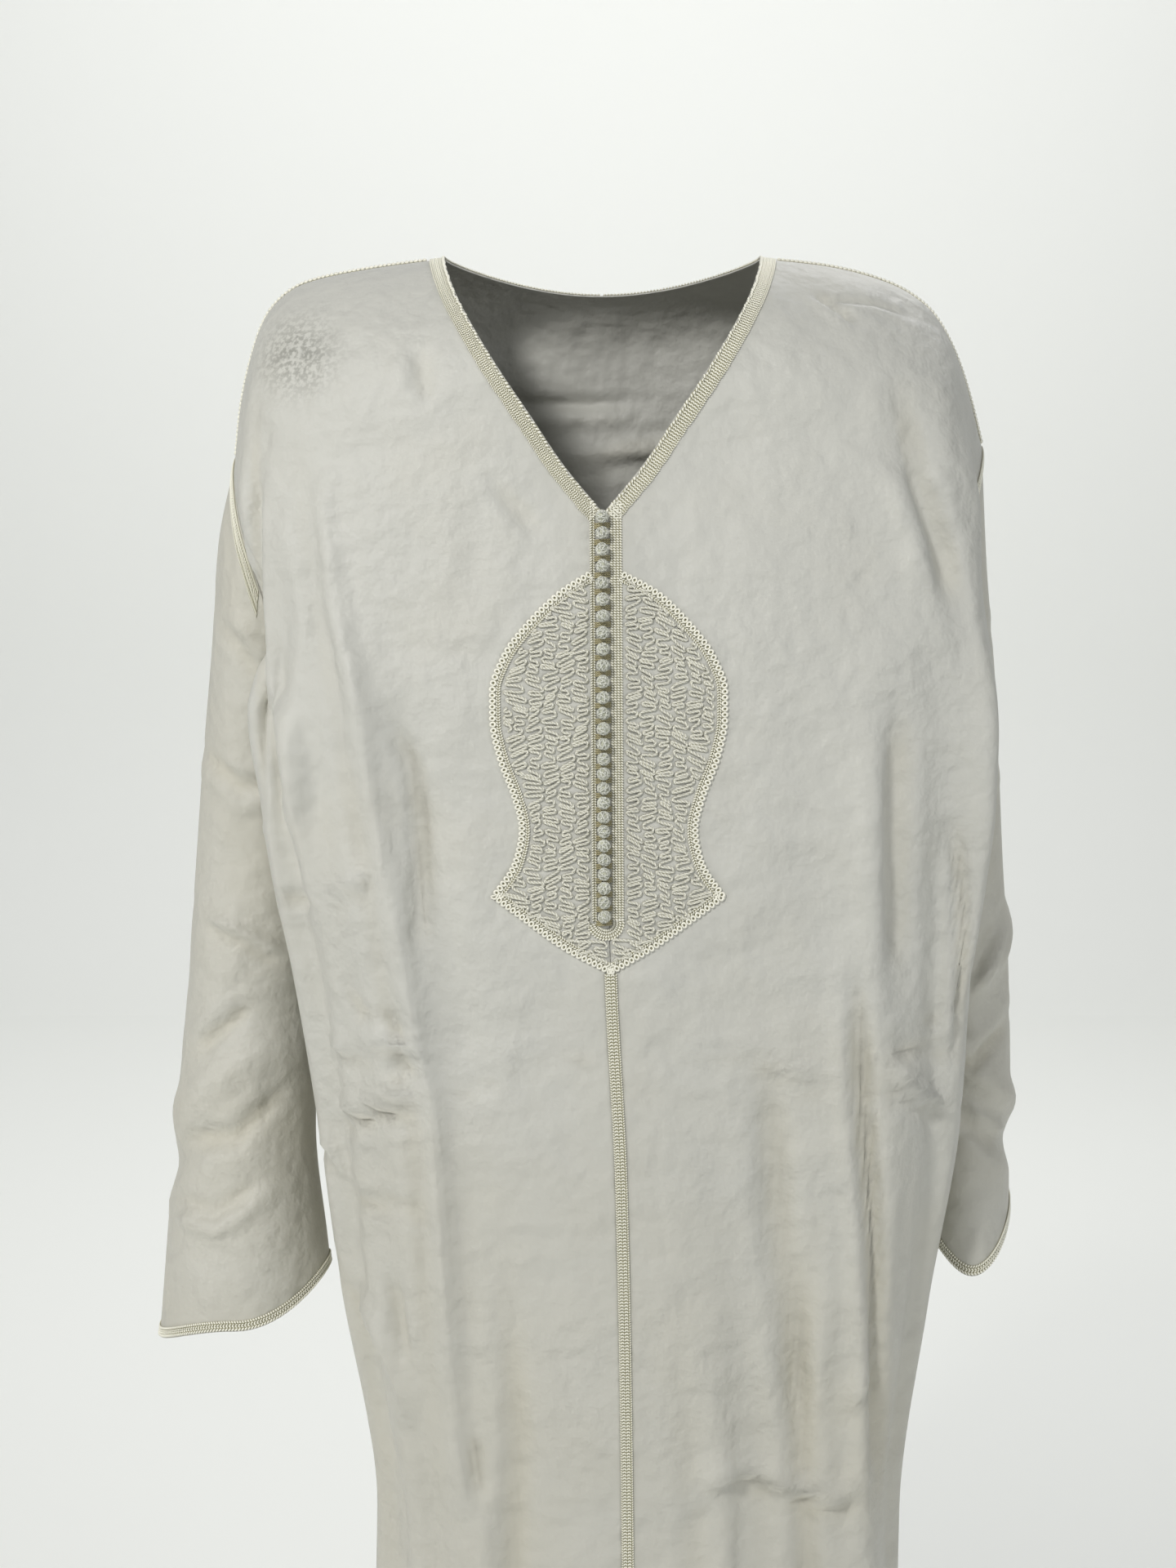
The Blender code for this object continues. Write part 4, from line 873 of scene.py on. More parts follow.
def strung(bm, count, pitch):
    """A small form repeated along +X by an Array."""
    mesh = bpy.data.meshes.new("strung")
    bm.to_mesh(mesh)
    bm.free()
    made = bpy.data.objects.new("strung", mesh)
    bpy.context.scene.collection.objects.link(made)
    array = made.modifiers.new("array", "ARRAY")
    array.count = count
    array.use_relative_offset = False
    array.use_constant_offset = True
    array.constant_offset_displace = (pitch, 0, 0)
    bpy.context.view_layer.update()
    whole = bpy.data.meshes.new_from_object(made.evaluated_get(bpy.context.evaluated_depsgraph_get()))
    bpy.data.objects.remove(made, do_unlink=True)
    return whole


def strand(bm, width, pitch, turn, rise):
    """One visible turn of a strand: a lens set across a row of the width and pitch."""
    made = bmesh.ops.create_uvsphere(bm, u_segments=6, v_segments=4, radius=0.5)["verts"]
    size = (1.04 * width / math.sin(turn), 0.96 * pitch * math.sin(turn), rise)
    bmesh.ops.scale(bm, vec=size, verts=made)
    return made


def twisted_row(row, length):
    """A cord of two strands laid along +X: its turns, one after another."""
    count = max(1, round(length / row.pitch))
    bm = bmesh.new()
    turn = math.radians(row.turn)
    made = strand(bm, row.width, row.pitch, turn, row.rise)
    bmesh.ops.rotate(bm, cent=(0, 0, 0), matrix=Matrix.Rotation(row.hand * turn, 3, "Z"), verts=made)
    bmesh.ops.translate(bm, vec=(row.pitch / 2, row.at, row.rise * ROW_SEAT), verts=made)
    return strung(bm, count, length / count)


def chain_row(row, length):
    """A plaited chain laid along +X: a V of two strands, one after another."""
    count = max(1, round(length / row.pitch))
    bm = bmesh.new()
    turn = math.radians(row.turn)
    for half in (-1, 1):
        made = strand(bm, row.width * CHAIN_STRAND, row.pitch, turn, row.rise)
        turned = Matrix.Rotation(half * row.hand * turn, 3, "Z")
        bmesh.ops.rotate(bm, cent=(0, 0, 0), matrix=turned, verts=made)
        place = (row.pitch / 2, row.at + half * row.width / 4, row.rise * ROW_SEAT)
        bmesh.ops.translate(bm, vec=place, verts=made)
    return strung(bm, count, length / count)


def shade_strip(rows, length):
    """The braid's ground under its rows, flat on the cloth: it lies low, so it takes the painted shade
    colour, and the gaps between the strands show dark.
    """
    low = min(row.at - row.width / 2 for row in rows) + 0.0002
    high = max(row.at + row.width / 2 for row in rows) - 0.0002
    bm = bmesh.new()
    bmesh.ops.create_grid(bm, x_segments=max(2, round(length / 0.004)), y_segments=3, size=0.5)
    bmesh.ops.scale(bm, vec=(length, high - low, 1), verts=bm.verts)
    bmesh.ops.translate(bm, vec=(length / 2, (low + high) / 2, 0.0003), verts=bm.verts)
    mesh = bpy.data.meshes.new("ground")
    bm.to_mesh(mesh)
    bm.free()
    return mesh


# How far a strand's middle stands off the cloth, as a share of its height
ROW_SEAT = 0.42
# How wide each strand of a chain row is, as a share of the row's width
CHAIN_STRAND = 0.52
# Each row of a braid: its kind, its place across, its width,
# the strands' pitch, turn and hand, and its height
Row = namedtuple("Row", "kind at width pitch turn hand rise")
NECK_ROWS = {
    RIGHT: [
        Row(twisted_row, 0.0009, 0.0022, 0.0025, 46, 1, 0.0023),
        Row(twisted_row, 0.0026, 0.0011, 0.0015, 32, -1, 0.0013),
        Row(twisted_row, 0.0037, 0.0011, 0.0015, 32, 1, 0.0013),
        Row(twisted_row, 0.0049, 0.0012, 0.0016, 44, -1, 0.0014),
        Row(twisted_row, 0.0061, 0.0012, 0.0016, 44, 1, 0.0014),
        Row(twisted_row, 0.0073, 0.0012, 0.0016, 44, -1, 0.0014),
        Row(twisted_row, 0.0085, 0.0011, 0.0015, 32, 1, 0.0013),
        Row(twisted_row, 0.0096, 0.0011, 0.0015, 32, -1, 0.0013),
    ],
    LEFT: [
        Row(twisted_row, 0.0009, 0.0022, 0.0025, 46, -1, 0.0023),
        Row(chain_row, 0.0032, 0.0023, 0.0020, 38, 1, 0.0016),
        Row(chain_row, 0.0054, 0.0023, 0.0020, 38, 1, 0.0016),
        Row(chain_row, 0.0075, 0.0021, 0.0020, 38, 1, 0.0016),
        Row(twisted_row, 0.0091, 0.0011, 0.0016, 40, -1, 0.0014),
        Row(twisted_row, 0.0102, 0.0011, 0.0016, 40, 1, 0.0014),
    ],
}
SEAM_ROWS = [
    Row(twisted_row, 0.0006, 0.0012, 0.0016, 40, 1, 0.0013),
    Row(chain_row, 0.0024, 0.0025, 0.0021, 37, 1, 0.0015),
    Row(chain_row, 0.0052, 0.0025, 0.0021, 37, 1, 0.0015),
    Row(twisted_row, 0.0074, 0.0012, 0.0016, 40, -1, 0.0013),
]
CUFF_ROWS = [
    Row(twisted_row, 0.0010, 0.0021, 0.0022, 46, 1, 0.0018),
    Row(chain_row, 0.0035, 0.0026, 0.0021, 37, 1, 0.0015),
    Row(twisted_row, 0.0060, 0.0019, 0.0018, 50, -1, 0.0015),
]
ARMHOLE_ROWS = [
    Row(twisted_row, 0.0006, 0.0012, 0.0016, 40, 1, 0.0013),
    Row(chain_row, 0.0027, 0.0027, 0.0021, 37, 1, 0.0015),
    Row(twisted_row, 0.0050, 0.0013, 0.0016, 40, -1, 0.0013),
]
PLACKET_ROWS = {
    RIGHT: [
        Row(twisted_row, 0.0010, 0.0016, 0.0016, 52, -1, 0.0016),
        Row(twisted_row, 0.0028, 0.0014, 0.0016, 52, 1, 0.0014),
    ],
    LEFT: [
        Row(twisted_row, 0.0010, 0.0020, 0.00165, 62, 1, 0.0017),
        Row(twisted_row, 0.0030, 0.0020, 0.00165, 62, 1, 0.0016),
        Row(twisted_row, 0.0050, 0.0019, 0.00165, 60, 1, 0.0016),
        Row(twisted_row, 0.0069, 0.0017, 0.00165, 54, 1, 0.0016),
    ],
}
SHOULDER_ROWS = [Row(twisted_row, 0.0018, 0.0034, 0.0030, 48, 1, 0.0028)]
TWIN_ROWS = [
    Row(twisted_row, 0.0049, 0.0014, 0.0017, 40, 1, 0.0016),
    Row(twisted_row, 0.0064, 0.0014, 0.0017, 40, -1, 0.0016),
]


def joined(name, meshes, finish):
    """One object of several meshes, shaded smooth, with its height above the cloth kept as a value."""
    bm = bmesh.new()
    for mesh in meshes:
        bm.from_mesh(mesh)
        bpy.data.meshes.remove(mesh)
    for face in bm.faces:
        face.smooth = True
    mesh = bpy.data.meshes.new(name)
    bm.to_mesh(mesh)
    bm.free()
    return linked(name, mesh, finish)


def braid(name, patch, rows, finish):
    """A braid on a stretch of the robe, row beside row."""
    return joined(name, row_meshes(patch, rows), finish)


def row_meshes(patch, rows):
    flat = [row.kind(row, patch.length) for row in rows] + [shade_strip(rows, patch.length)]
    return [patch.bend(mesh) for mesh in flat]


def neck_patch(side, face):
    """A stretch along a body panel's neckline, from the edge outwards."""
    shares = NECK_SHARE * np.linspace(0.006, 1.0, 90)
    step = 1e-3
    edge = body_point(side, face, shares, 0.0)
    run = unit(np.gradient(edge, axis=0))
    out = body_facing(side, face, shares, np.full(len(shares), 0.004))
    inwards = unit(np.cross(out, run)) * (-side if face == "front" else side)
    reaches = np.linspace(0, 0.011, 4)
    points, outs = np.zeros((len(shares), 4, 3)), np.zeros((len(shares), 4, 3))
    for i, reach in enumerate(reaches):
        across, down = nearest(lambda a, b: body_point(side, face, a, b), edge + inwards * reach, (0.6, 0.3))
        points[:, i] = body_point(side, face, across, down)
        outs[:, i] = body_facing(side, face, across, np.maximum(down, step))
    return Patch(points, outs, reaches)


def nearest(place, targets, most):
    """The pairs of shares at which a surface comes nearest to the targets, closing in on each."""
    coarse_a, coarse_b = (np.linspace(0, top, 61) for top in most)
    net = place(coarse_a[:, None], coarse_b[None, :])
    gaps = np.linalg.norm(net[None] - targets[:, None, None], axis=-1)
    best = gaps.reshape(len(targets), -1).argmin(axis=1)
    a, b = coarse_a[best // 61], coarse_b[best % 61]
    reach_a, reach_b = (top / 60 for top in most)
    tries = np.linspace(-1, 1, 7)
    rows = np.arange(len(targets))
    for _ in range(12):
        try_a = np.clip(a[:, None, None] + reach_a * tries[:, None], 0, most[0]) + 0 * tries
        try_b = np.clip(b[:, None, None] + reach_b * tries[None, :], 0, most[1]) + 0 * tries[:, None]
        gaps = np.linalg.norm(place(try_a, try_b) - targets[:, None, None], axis=-1)
        best = gaps.reshape(len(targets), -1).argmin(axis=1)
        a, b = try_a.reshape(len(targets), -1)[rows, best], try_b.reshape(len(targets), -1)[rows, best]
        reach_a, reach_b = reach_a * 0.5, reach_b * 0.5
    return a, b


def front_strip(front, line, reaches):
    """A stretch of the front along a flat line of (x, z) points, with edges to its left by the reaches."""
    line = np.array(line)
    run = unit(np.gradient(line, axis=0))
    beside = np.stack((-run[:, 1], run[:, 0]), axis=-1)
    flat = line[:, None] + beside[:, None] * np.array(reaches)[None, :, None]
    points, outs = front.at(-flat[..., 1], flat[..., 0])
    return Patch(points, outs, np.array(reaches) - reaches[0])


def tube(path, ups, radius, sides, twist_from=0.0):
    """A round cord's grid about a path, with the length along it and the turn round it."""
    run = unit(np.gradient(path, axis=0))
    beside = unit(np.cross(run, ups))
    over = np.cross(beside, run)
    turn = np.linspace(0, 2 * np.pi, sides + 1)
    turn[-1] = 0.0
    ring = beside[:, None] * np.cos(turn)[None, :, None] + over[:, None] * np.sin(turn)[None, :, None]
    points = path[:, None] + ring * radius
    along = twist_from + lengths(path)[:, None]
    return points, ring, along, np.linspace(0, 1, sides + 1)[None, :]


def cord(name, path, ups, radius, sides, place=None):
    """A cord's mesh about a path, laid on a surface where one is given."""
    points, ring, along, around = tube(path, ups, radius, sides)
    # The cord's height over the cloth sets its painted shade; a cord laid on nothing counts as all on top.
    height = points[..., 2] if place is not None else 0.001
    if place is not None:
        surface, outs = place.at(-points[..., 1], points[..., 0])
        points = surface + outs * points[..., 2:]
    mesh = bent_grid(name, points, ring, {"along": along, "around": around, "height": height}, closed=True)
    bm = bmesh.new()
    bm.from_mesh(mesh)
    bmesh.ops.recalc_face_normals(bm, faces=bm.faces)
    bm.to_mesh(mesh)
    bm.free()
    return mesh


class Link:
    """One output of a material's nodes: sums and products on it add Math nodes."""

    def __init__(self, finish, socket):
        self.finish, self.socket = finish, socket

    def maths(self, operation, first, second=0.0):
        return self.finish.node("ShaderNodeMath", {"operation": operation}, {0: first, 1: second})

    def __add__(self, other):
        return self.maths("ADD", self, other)

    __radd__ = __add__

    def __mul__(self, other):
        return self.maths("MULTIPLY", self, other)

    __rmul__ = __mul__

    def __sub__(self, other):
        return self.maths("SUBTRACT", self, other)

    def __rsub__(self, other):
        return self.maths("SUBTRACT", other, self)

    def sine(self):
        return self.maths("SINE", self)

    def clipped(self):
        return self.finish.node("ShaderNodeClamp", {}, {"Value": self})


class Finish:
    """A material under construction: its nodes and its shader."""

    def __init__(self, name, roughness, sheen):
        self.material = bpy.data.materials.new(name)
        self.material.use_nodes = True
        self.tree = self.material.node_tree
        self.shader = self.tree.nodes["Principled BSDF"]
        self.shader.inputs["Roughness"].default_value = roughness
        self.shader.inputs["Sheen Weight"].default_value = sheen
        self.shader.inputs["Sheen Roughness"].default_value = 0.4

    def node(self, kind, settings, values, output=0):
        made = self.tree.nodes.new(kind)
        for key, value in settings.items():
            setattr(made, key, value)
        for key, value in values.items():
            self.feed(made.inputs[key], value)
        return Link(self, made.outputs[output])

    def feed(self, socket, value):
        if isinstance(value, Link):
            self.tree.links.new(value.socket, socket)
        else:
            socket.default_value = value

    def places(self):
        return self.node("ShaderNodeTexCoord", {}, {}, "Object")

    def value(self, name):
        return self.node("ShaderNodeAttribute", {"attribute_name": name}, {}, "Fac")

    def noise(self, scale, detail=3.0, vector=None):
        values = {"Vector": vector or self.places(), "Scale": scale, "Detail": detail, "Roughness": 0.55}
        return self.node("ShaderNodeTexNoise", {}, values, "Fac")

    def mixed(self, share, first, second):
        values = {"Factor": share, 6: (*first, 1) if isinstance(first, tuple) else first}
        values[7] = (*second, 1) if isinstance(second, tuple) else second
        return self.node("ShaderNodeMix", {"data_type": "RGBA"}, values, 2)

    def set(self, name, value):
        self.feed(self.shader.inputs[name], value)

    def bump(self, height, distance, strength=1.0, under=None):
        values = {"Height": height, "Distance": distance, "Strength": strength}
        if under is not None:
            values["Normal"] = under
        return self.node("ShaderNodeBump", {}, values)


def cloth_finish(sizes):
    """Smooth ivory cloth: a fine plain weave, soft unevenness, and a warmer, darker painted shade down in the
    creases, towards the hem and on the sleeves.
    """
    finish = Finish("ivory_cloth", 0.50, 0.10)
    uv = finish.node("ShaderNodeUVMap", {"uv_map": "cloth"}, {})
    parts = finish.tree.nodes.new("ShaderNodeSeparateXYZ")
    finish.feed(parts.inputs[0], uv)
    across, down = (Link(finish, socket) for socket in parts.outputs[:2])
    threads = 2 * math.pi / sizes.thread_pitch
    weave = (across * threads).sine() * (down * threads).sine()
    slubs = finish.node("ShaderNodeMapping", {}, {"Vector": uv, "Scale": (900.0, 60.0, 1.0)})
    slub = finish.noise(1.0, 2.0, slubs)
    mottle = finish.noise(9.0, 4.0)
    soft = finish.noise(15.0, 3.0)
    crumple = finish.noise(55.0, 3.0) * finish.noise(6.0, 1.0)
    # Painted shade: the creases, the lower body and the sleeves get the darker, warmer shade colour, made
    # uneven by the mottle.
    painted_shade = finish.value("painted_shade")
    tint = (painted_shade + (mottle - 0.5) * 0.8).clipped()
    colour = finish.mixed(tint, tuple(sizes.cloth_colour), tuple(sizes.painted_shade_colour))
    specks = ((finish.noise(330.0, 3.0) - 0.42) * 6.0).clipped()
    soil = (finish.value("soil") * specks * 0.60).clipped()
    finish.set("Base Color", finish.mixed(soil, colour, tuple(sizes.soil_colour)))
    finish.set("Roughness", 0.44 + mottle * 0.14)
    rumpled = finish.bump(soft + crumple * 0.5, sizes.rumple, 0.9)
    woven = finish.bump(weave * 0.5 + slub, 0.00012, 0.5, rumpled)
    finish.set("Normal", woven)
    return finish.material


def shade_mixed(finish, colour, shade, low, reach):
    """The colour on top of a cord, and painted shade beside and under it, by its height over the cloth."""
    share = ((finish.value("height") - low) * (1 / reach)).clipped()
    return finish.mixed(share, shade, colour)


def braid_finish(name, colour, shade):
    """Plaited rayon cord: fine filaments, with painted shade between and under the strands."""
    finish = Finish(name, 0.42, 0.2)
    fine = finish.noise(1400.0, 2.0)
    finish.set("Base Color", shade_mixed(finish, colour, shade, 0.0003, 0.0008))
    finish.set("Roughness", 0.34 + fine * 0.2)
    finish.set("Normal", finish.bump(fine, 0.0001, 0.5))
    return finish.material


def cord_finish(name, colour, shade, pitch, low, reach):
    """A round cord of two strands: its twist stands out along it, with painted shade low on its sides and
    down in the twist's grooves.
    """
    finish = Finish(name, 0.45, 0.2)
    turns = finish.value("along") * (2 * math.pi / pitch) + finish.value("around") * (4 * math.pi)
    twist = turns.sine() * 0.5 + 0.5
    fine = finish.noise(1300.0, 2.0)
    top = shade_mixed(finish, colour, shade, low, reach)
    # Painted shade down in the twist's grooves, over the shade low on the sides.
    finish.set("Base Color", finish.mixed(((0.45 - twist) * 1.3).clipped(), top, shade))
    finish.set("Roughness", 0.36 + fine * 0.2)
    filaments = finish.bump(fine, 0.0001, 0.4)
    finish.set("Normal", finish.bump(twist, 0.0006, 1.0, filaments))
    return finish.material


class RobeCloth(PropertyGroup):
    """The cloth's weave, wall and colours."""

    thread_pitch: FloatProperty(
        name="Thread pitch", description="Between two threads", default=0.0009, unit="LENGTH"
    )
    wall: FloatProperty(name="Wall", description="Thickness of the cloth", default=0.0011, unit="LENGTH")
    rumple: FloatProperty(
        name="Rumple", description="Height of soft unevenness", default=0.0120, unit="LENGTH"
    )
    cloth_colour: FloatVectorProperty(
        name="Cloth colour", description="The cloth where it lies smooth", subtype="COLOR",
        default=(0.605, 0.602, 0.552),
    )
    # Painted shade, put down in the folds, towards the hem and on the sleeves.
    painted_shade_colour: FloatVectorProperty(
        name="Trough colour", description="The cloth down in its folds", subtype="COLOR",
        default=(0.585, 0.557, 0.458),
    )
    soil_colour: FloatVectorProperty(
        name="Soil colour", description="The grey specks on one shoulder", subtype="COLOR",
        default=(0.20, 0.20, 0.17),
    )


class RobeBraid(PropertyGroup):
    """The braids and the cord work."""

    braid_colour: FloatVectorProperty(
        name="Braid colour", description="The plaited braids", subtype="COLOR",
        default=(0.95, 0.935, 0.82),
    )
    # Painted shade between and under the braids' strands.
    braid_shade: FloatVectorProperty(
        name="Deep colour", description="Between and under the strands", subtype="COLOR",
        default=(0.44, 0.42, 0.28),
    )
    cord_radius: FloatProperty(
        name="Cord radius", description="The plastron's cord", default=0.00098, unit="LENGTH"
    )
    cord_pitch: FloatProperty(
        name="Cord pitch", description="One turn of its twist", default=0.0024, unit="LENGTH"
    )
    column_width: FloatProperty(
        name="Column", description="Width of one meander", default=0.0098, unit="LENGTH"
    )
    wave_length: FloatProperty(
        name="Wave", description="Length of one meander's wave", default=0.0054, unit="LENGTH"
    )
    picot_pitch: FloatProperty(
        name="Picot pitch", description="From loop to loop", default=0.0036, unit="LENGTH"
    )


class RobeButtons(PropertyGroup):
    """The knotted buttons and their loops."""

    knot_colour: FloatVectorProperty(
        name="Knot colour", description="The buttons' cord", subtype="COLOR", default=(0.97, 0.98, 0.88)
    )
    # The loops' own golden tone, darkened with painted shade.
    loop_colour_and_shade: FloatVectorProperty(
        name="Loop colour", description="The cords between buttons", subtype="COLOR",
        default=(0.62, 0.56, 0.33),
    )
    # Painted shade down between the knot's cords and on the ball under them.
    knot_shade: FloatVectorProperty(
        name="Knot depths", description="Down between the knot's cords", subtype="COLOR",
        default=(0.54, 0.55, 0.43),
    )
    bights: IntProperty(name="Bights", description="Bends of the knot round the ball", default=7)


class RobeStage(PropertyGroup):
    """The floor and the backdrop."""

    floor_drop: FloatProperty(
        name="Floor", description="Floor below the hem", default=0.06, unit="LENGTH"
    )
    backdrop: FloatVectorProperty(
        name="Backdrop colour", description="Floor and backdrop", subtype="COLOR",
        default=(0.90, 0.91, 0.88),
    )


def finishes():
    """The robe's materials, made once and found again by name."""
    cloth = bpy.context.scene.robe_cloth
    braids = bpy.context.scene.robe_braid
    buttons = bpy.context.scene.robe_buttons
    # The braids' own colour and their painted shade colour.
    light, shade = tuple(braids.braid_colour), tuple(braids.braid_shade)
    # The knots' own colour and their painted shade colour.
    knot, hollow_shade = tuple(buttons.knot_colour), tuple(buttons.knot_shade)
    makers = {
        "ivory_cloth": lambda: cloth_finish(cloth),
        "ivory_braid": lambda: braid_finish("ivory_braid", light, shade),
        "ivory_cord": lambda: cord_finish("ivory_cord", light, shade, braids.cord_pitch, -0.0003, 0.0009),
        "knot_cord": lambda: cord_finish("knot_cord", knot, hollow_shade, 0.0016, 0.0, 0.001),
        # The loops' cord, with a dark painted shade colour low on its sides and in its twist.
        "loop_cord": lambda: cord_finish(
            "loop_cord", tuple(buttons.loop_colour_and_shade), (0.24, 0.20, 0.08), 0.0014, 0.0, 0.002
        ),
    }
    return {name: bpy.data.materials.get(name) or make() for name, make in makers.items()}


def settled(made, slot, *nodes):
    """Rides the piece on the robe and hides the plain parts that it stands for; its slot is not used."""
    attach(made, "root")
    if nodes:
        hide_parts(*nodes)
    return made


def crease_shade(name, x, z):
    """How far down in a crease each place is, which sets how much painted shade it gets."""
    return 0.35 * np.clip(-wrinkle_rise(WRINKLES[name], x, z) / 0.006, 0, 1)


def eased(points, side):
    """Evens out the grid about the shoulder's tip, where the rolled shoulder meets the armhole."""
    points = points.copy()
    share = bell((points[..., 2] - tip_z(side)) / 0.030) * smooth((np.abs(points[..., 0]) - 0.13) / 0.05)
    for _ in range(16):
        around = (points[:-2, 1:-1] + points[2:, 1:-1] + points[1:-1, :-2] + points[1:-1, 2:]) / 4
        points[1:-1, 1:-1] += (around - points[1:-1, 1:-1]) * share[1:-1, 1:-1, None]
    return points


def body_grid(side, face, columns, rows):
    """Points and directions of a body panel, with half the seam's gap taken off its edges."""
    across, down = np.meshgrid(np.linspace(0, 1, columns), np.linspace(0, 1, rows) ** 1.05 * 2)
    points = eased(fine_body_point(side, face, across, down), side)
    outs = body_directions(side, face, across, down)
    forward = -1 if face == "front" else 1
    points[0, across[0] >= NECK_SHARE, 1] += forward * SEAM_GAP / 2
    below = down[:, -1] >= 1
    points[below, -1, 1] += forward * SEAM_GAP / 2
    if face == "front":
        points[:, 0, 0] += side * SEAM_GAP / 2
    armhole = down[:, -1] <= 1
    points[armhole, -1] -= armhole_part(side, np.pi * down[armhole, -1])
    x, z = points[..., 0], points[..., 2]
    # Painted shade: in the creases, and more of it the lower the cloth hangs.
    painted_shade = crease_shade(face, x, z) + 0.35 * smooth((-z - 0.42) / 0.35)
    soil = bell(np.hypot(x - SOIL_PLACE[0], z - SOIL_PLACE[1]) / SOIL_REACH) * (face == "front")
    return points, outs, painted_shade, soil


def body_panel(name, points, outs, painted_shade, soil, cut, finish):
    mesh = bent_grid(name, points, outs, {"painted_shade": painted_shade, "soil": soil})
    made = walled(linked(f"{name}_cloth", mesh, finish), bpy.context.scene.robe_cloth.wall)
    settled(made, "cloth", name)


class ROBE_OT_body(Operator):
    """Models the two fronts and the back, with their folds and creases"""

    bl_idname = "robe.body"
    bl_label = "Body cloth"

    def execute(self, context):
        finish = finishes()["ivory_cloth"]
        for side in (RIGHT, LEFT):
            name = f"front_{SIDE_NAMES[side]}"
            body_panel(name, *body_grid(side, "front", *FRONT_GRID), "front", finish)
        right, left = (body_grid(side, "back", *BACK_GRID) for side in (RIGHT, LEFT))
        whole = [np.concatenate((r[:, :0:-1], l), axis=1) for r, l in zip(right, left)]
        body_panel("back", *whole, "back", finish)
        return {"FINISHED"}


class ROBE_OT_sleeves(Operator):
    """Models the two sleeves"""

    bl_idname = "robe.sleeves"
    bl_label = "Sleeves"

    def execute(self, context):
        finish = finishes()["ivory_cloth"]
        columns, rows = SLEEVE_GRID
        for side in (RIGHT, LEFT):
            turns, down = np.meshgrid(np.linspace(0, 1, columns + 1), np.linspace(0, 1, rows))
            points = fine_sleeve(side, turns, down)
            points[0] += armhole_part(side, np.abs(np.angle(np.exp(2j * np.pi * turns[0]))))
            outs = sleeve_facing(side, turns, down)
            name = f"sleeve_{SIDE_NAMES[side]}"
            # Painted shade: in the creases, and an even share over the whole sleeve.
            painted_shade = crease_shade(name, points[..., 0], points[..., 2]) + 0.45
            mesh = bent_grid(name, points, outs, {"painted_shade": painted_shade, "soil": 0.0}, closed=True)
            made = walled(linked(f"{name}_cloth", mesh, finish), context.scene.robe_cloth.wall)
            settled(made, "cloth", name)
        return {"FINISHED"}


class ROBE_OT_neck_braids(Operator):
    """Models the braid round the neck and the cords over the shoulder seams"""

    bl_idname = "robe.neck_braids"
    bl_label = "Neck braid and shoulder cords"

    def execute(self, context):
        finish = finishes()["ivory_braid"]
        for side in (RIGHT, LEFT):
            name = f"neck_braid_{SIDE_NAMES[side]}"
            settled(braid(f"{name}_rows", neck_patch(side, "front"), NECK_ROWS[side], finish), "braid", name)
        right, left = (neck_patch(side, "back") for side in (RIGHT, LEFT))
        meshes = row_meshes(right, NECK_ROWS[RIGHT]) + row_meshes(left, NECK_ROWS[LEFT])
        settled(joined("neck_braid_back_rows", meshes, finish), "braid", "neck_braid_back")
        for side in (RIGHT, LEFT):
            name = f"shoulder_cord_{SIDE_NAMES[side]}"
            settled(braid(f"{name}_twist", shoulder_patch(side), SHOULDER_ROWS, finish), "braid", name)
        return {"FINISHED"}


def shoulder_patch(side):
    stops = NECK_SHARE + (1 - NECK_SHARE) * np.linspace(*SHOULDER_CORD_ENDS, 50)
    edge = top_edge(side, "front", stops)
    centre = xyz(side * edge.x, 0.0, edge.z)
    run = unit(np.gradient(centre, axis=0))
    out = np.repeat(unit(np.cross(run, (0.0, side, 0.0)))[:, None], 3, axis=1)
    across = np.array([[0, -0.5, 0], [0, 0, 0], [0, 0.5, 0]]) * SHOULDER_CORD_WIDTH
    return Patch(centre[:, None] + across, out)


class ROBE_OT_seam_braids(Operator):
    """Models the braids over the front seam, the armholes and the cuffs"""

    bl_idname = "robe.seam_braids"
    bl_label = "Seam, armhole and cuff braids"

    def execute(self, context):
        finish = finishes()["ivory_braid"]
        front = front_patch()
        z = np.linspace(PLASTRON_FOOT_Z + 0.001, -ROBE_LENGTH + 0.002, 240)
        line = np.stack((at_height(MIDDLE, z).lean, z), axis=-1)
        strip = front_strip(front, line, np.linspace(-0.5, 0.5, 5) * SEAM_BRAID_WIDTH)
        settled(braid("front_seam_rows", strip, SEAM_ROWS, finish), "braid", "front_seam_braid")
        for side in (RIGHT, LEFT):
            name = f"armhole_braid_{SIDE_NAMES[side]}"
            patch = sleeve_patch(side, np.linspace(-84, 84, 90) / 360, 0.0, ARMHOLE_BRAID_WIDTH)
            settled(braid(f"{name}_rows", patch, ARMHOLE_ROWS, finish), "braid", name)
            name = f"cuff_braid_{SIDE_NAMES[side]}"
            patch = sleeve_patch(side, np.linspace(0, 1, 181), 1.0, CUFF_BRAID_WIDTH)
            settled(braid(f"{name}_rows", patch, CUFF_ROWS, finish), "braid", name)
        return {"FINISHED"}


def sleeve_patch(side, turns, end, width):
    """A stretch round the sleeve, just inside its armhole seam or its cuff."""
    edges = [sleeve_surface(side, turns, down)[:, 2] for down in (0.0, 1.0)]
    run = np.gradient(sleeve_surface(side, turns, end), axis=0)
    level = np.hypot(run[:, 0], run[:, 1]) / np.linalg.norm(run, axis=-1)
    reaches = np.linspace(0.0006, width, 4)
    shares = reaches / np.maximum(level, 0.3)[:, None] / (edges[0] - edges[1])[:, None]
    down = shares if end == 0.0 else 1 - shares
    around = turns[:, None] + 0 * down
    return Patch(sleeve_surface(side, around, down), sleeve_facing(side, around, down), reaches - reaches[0])


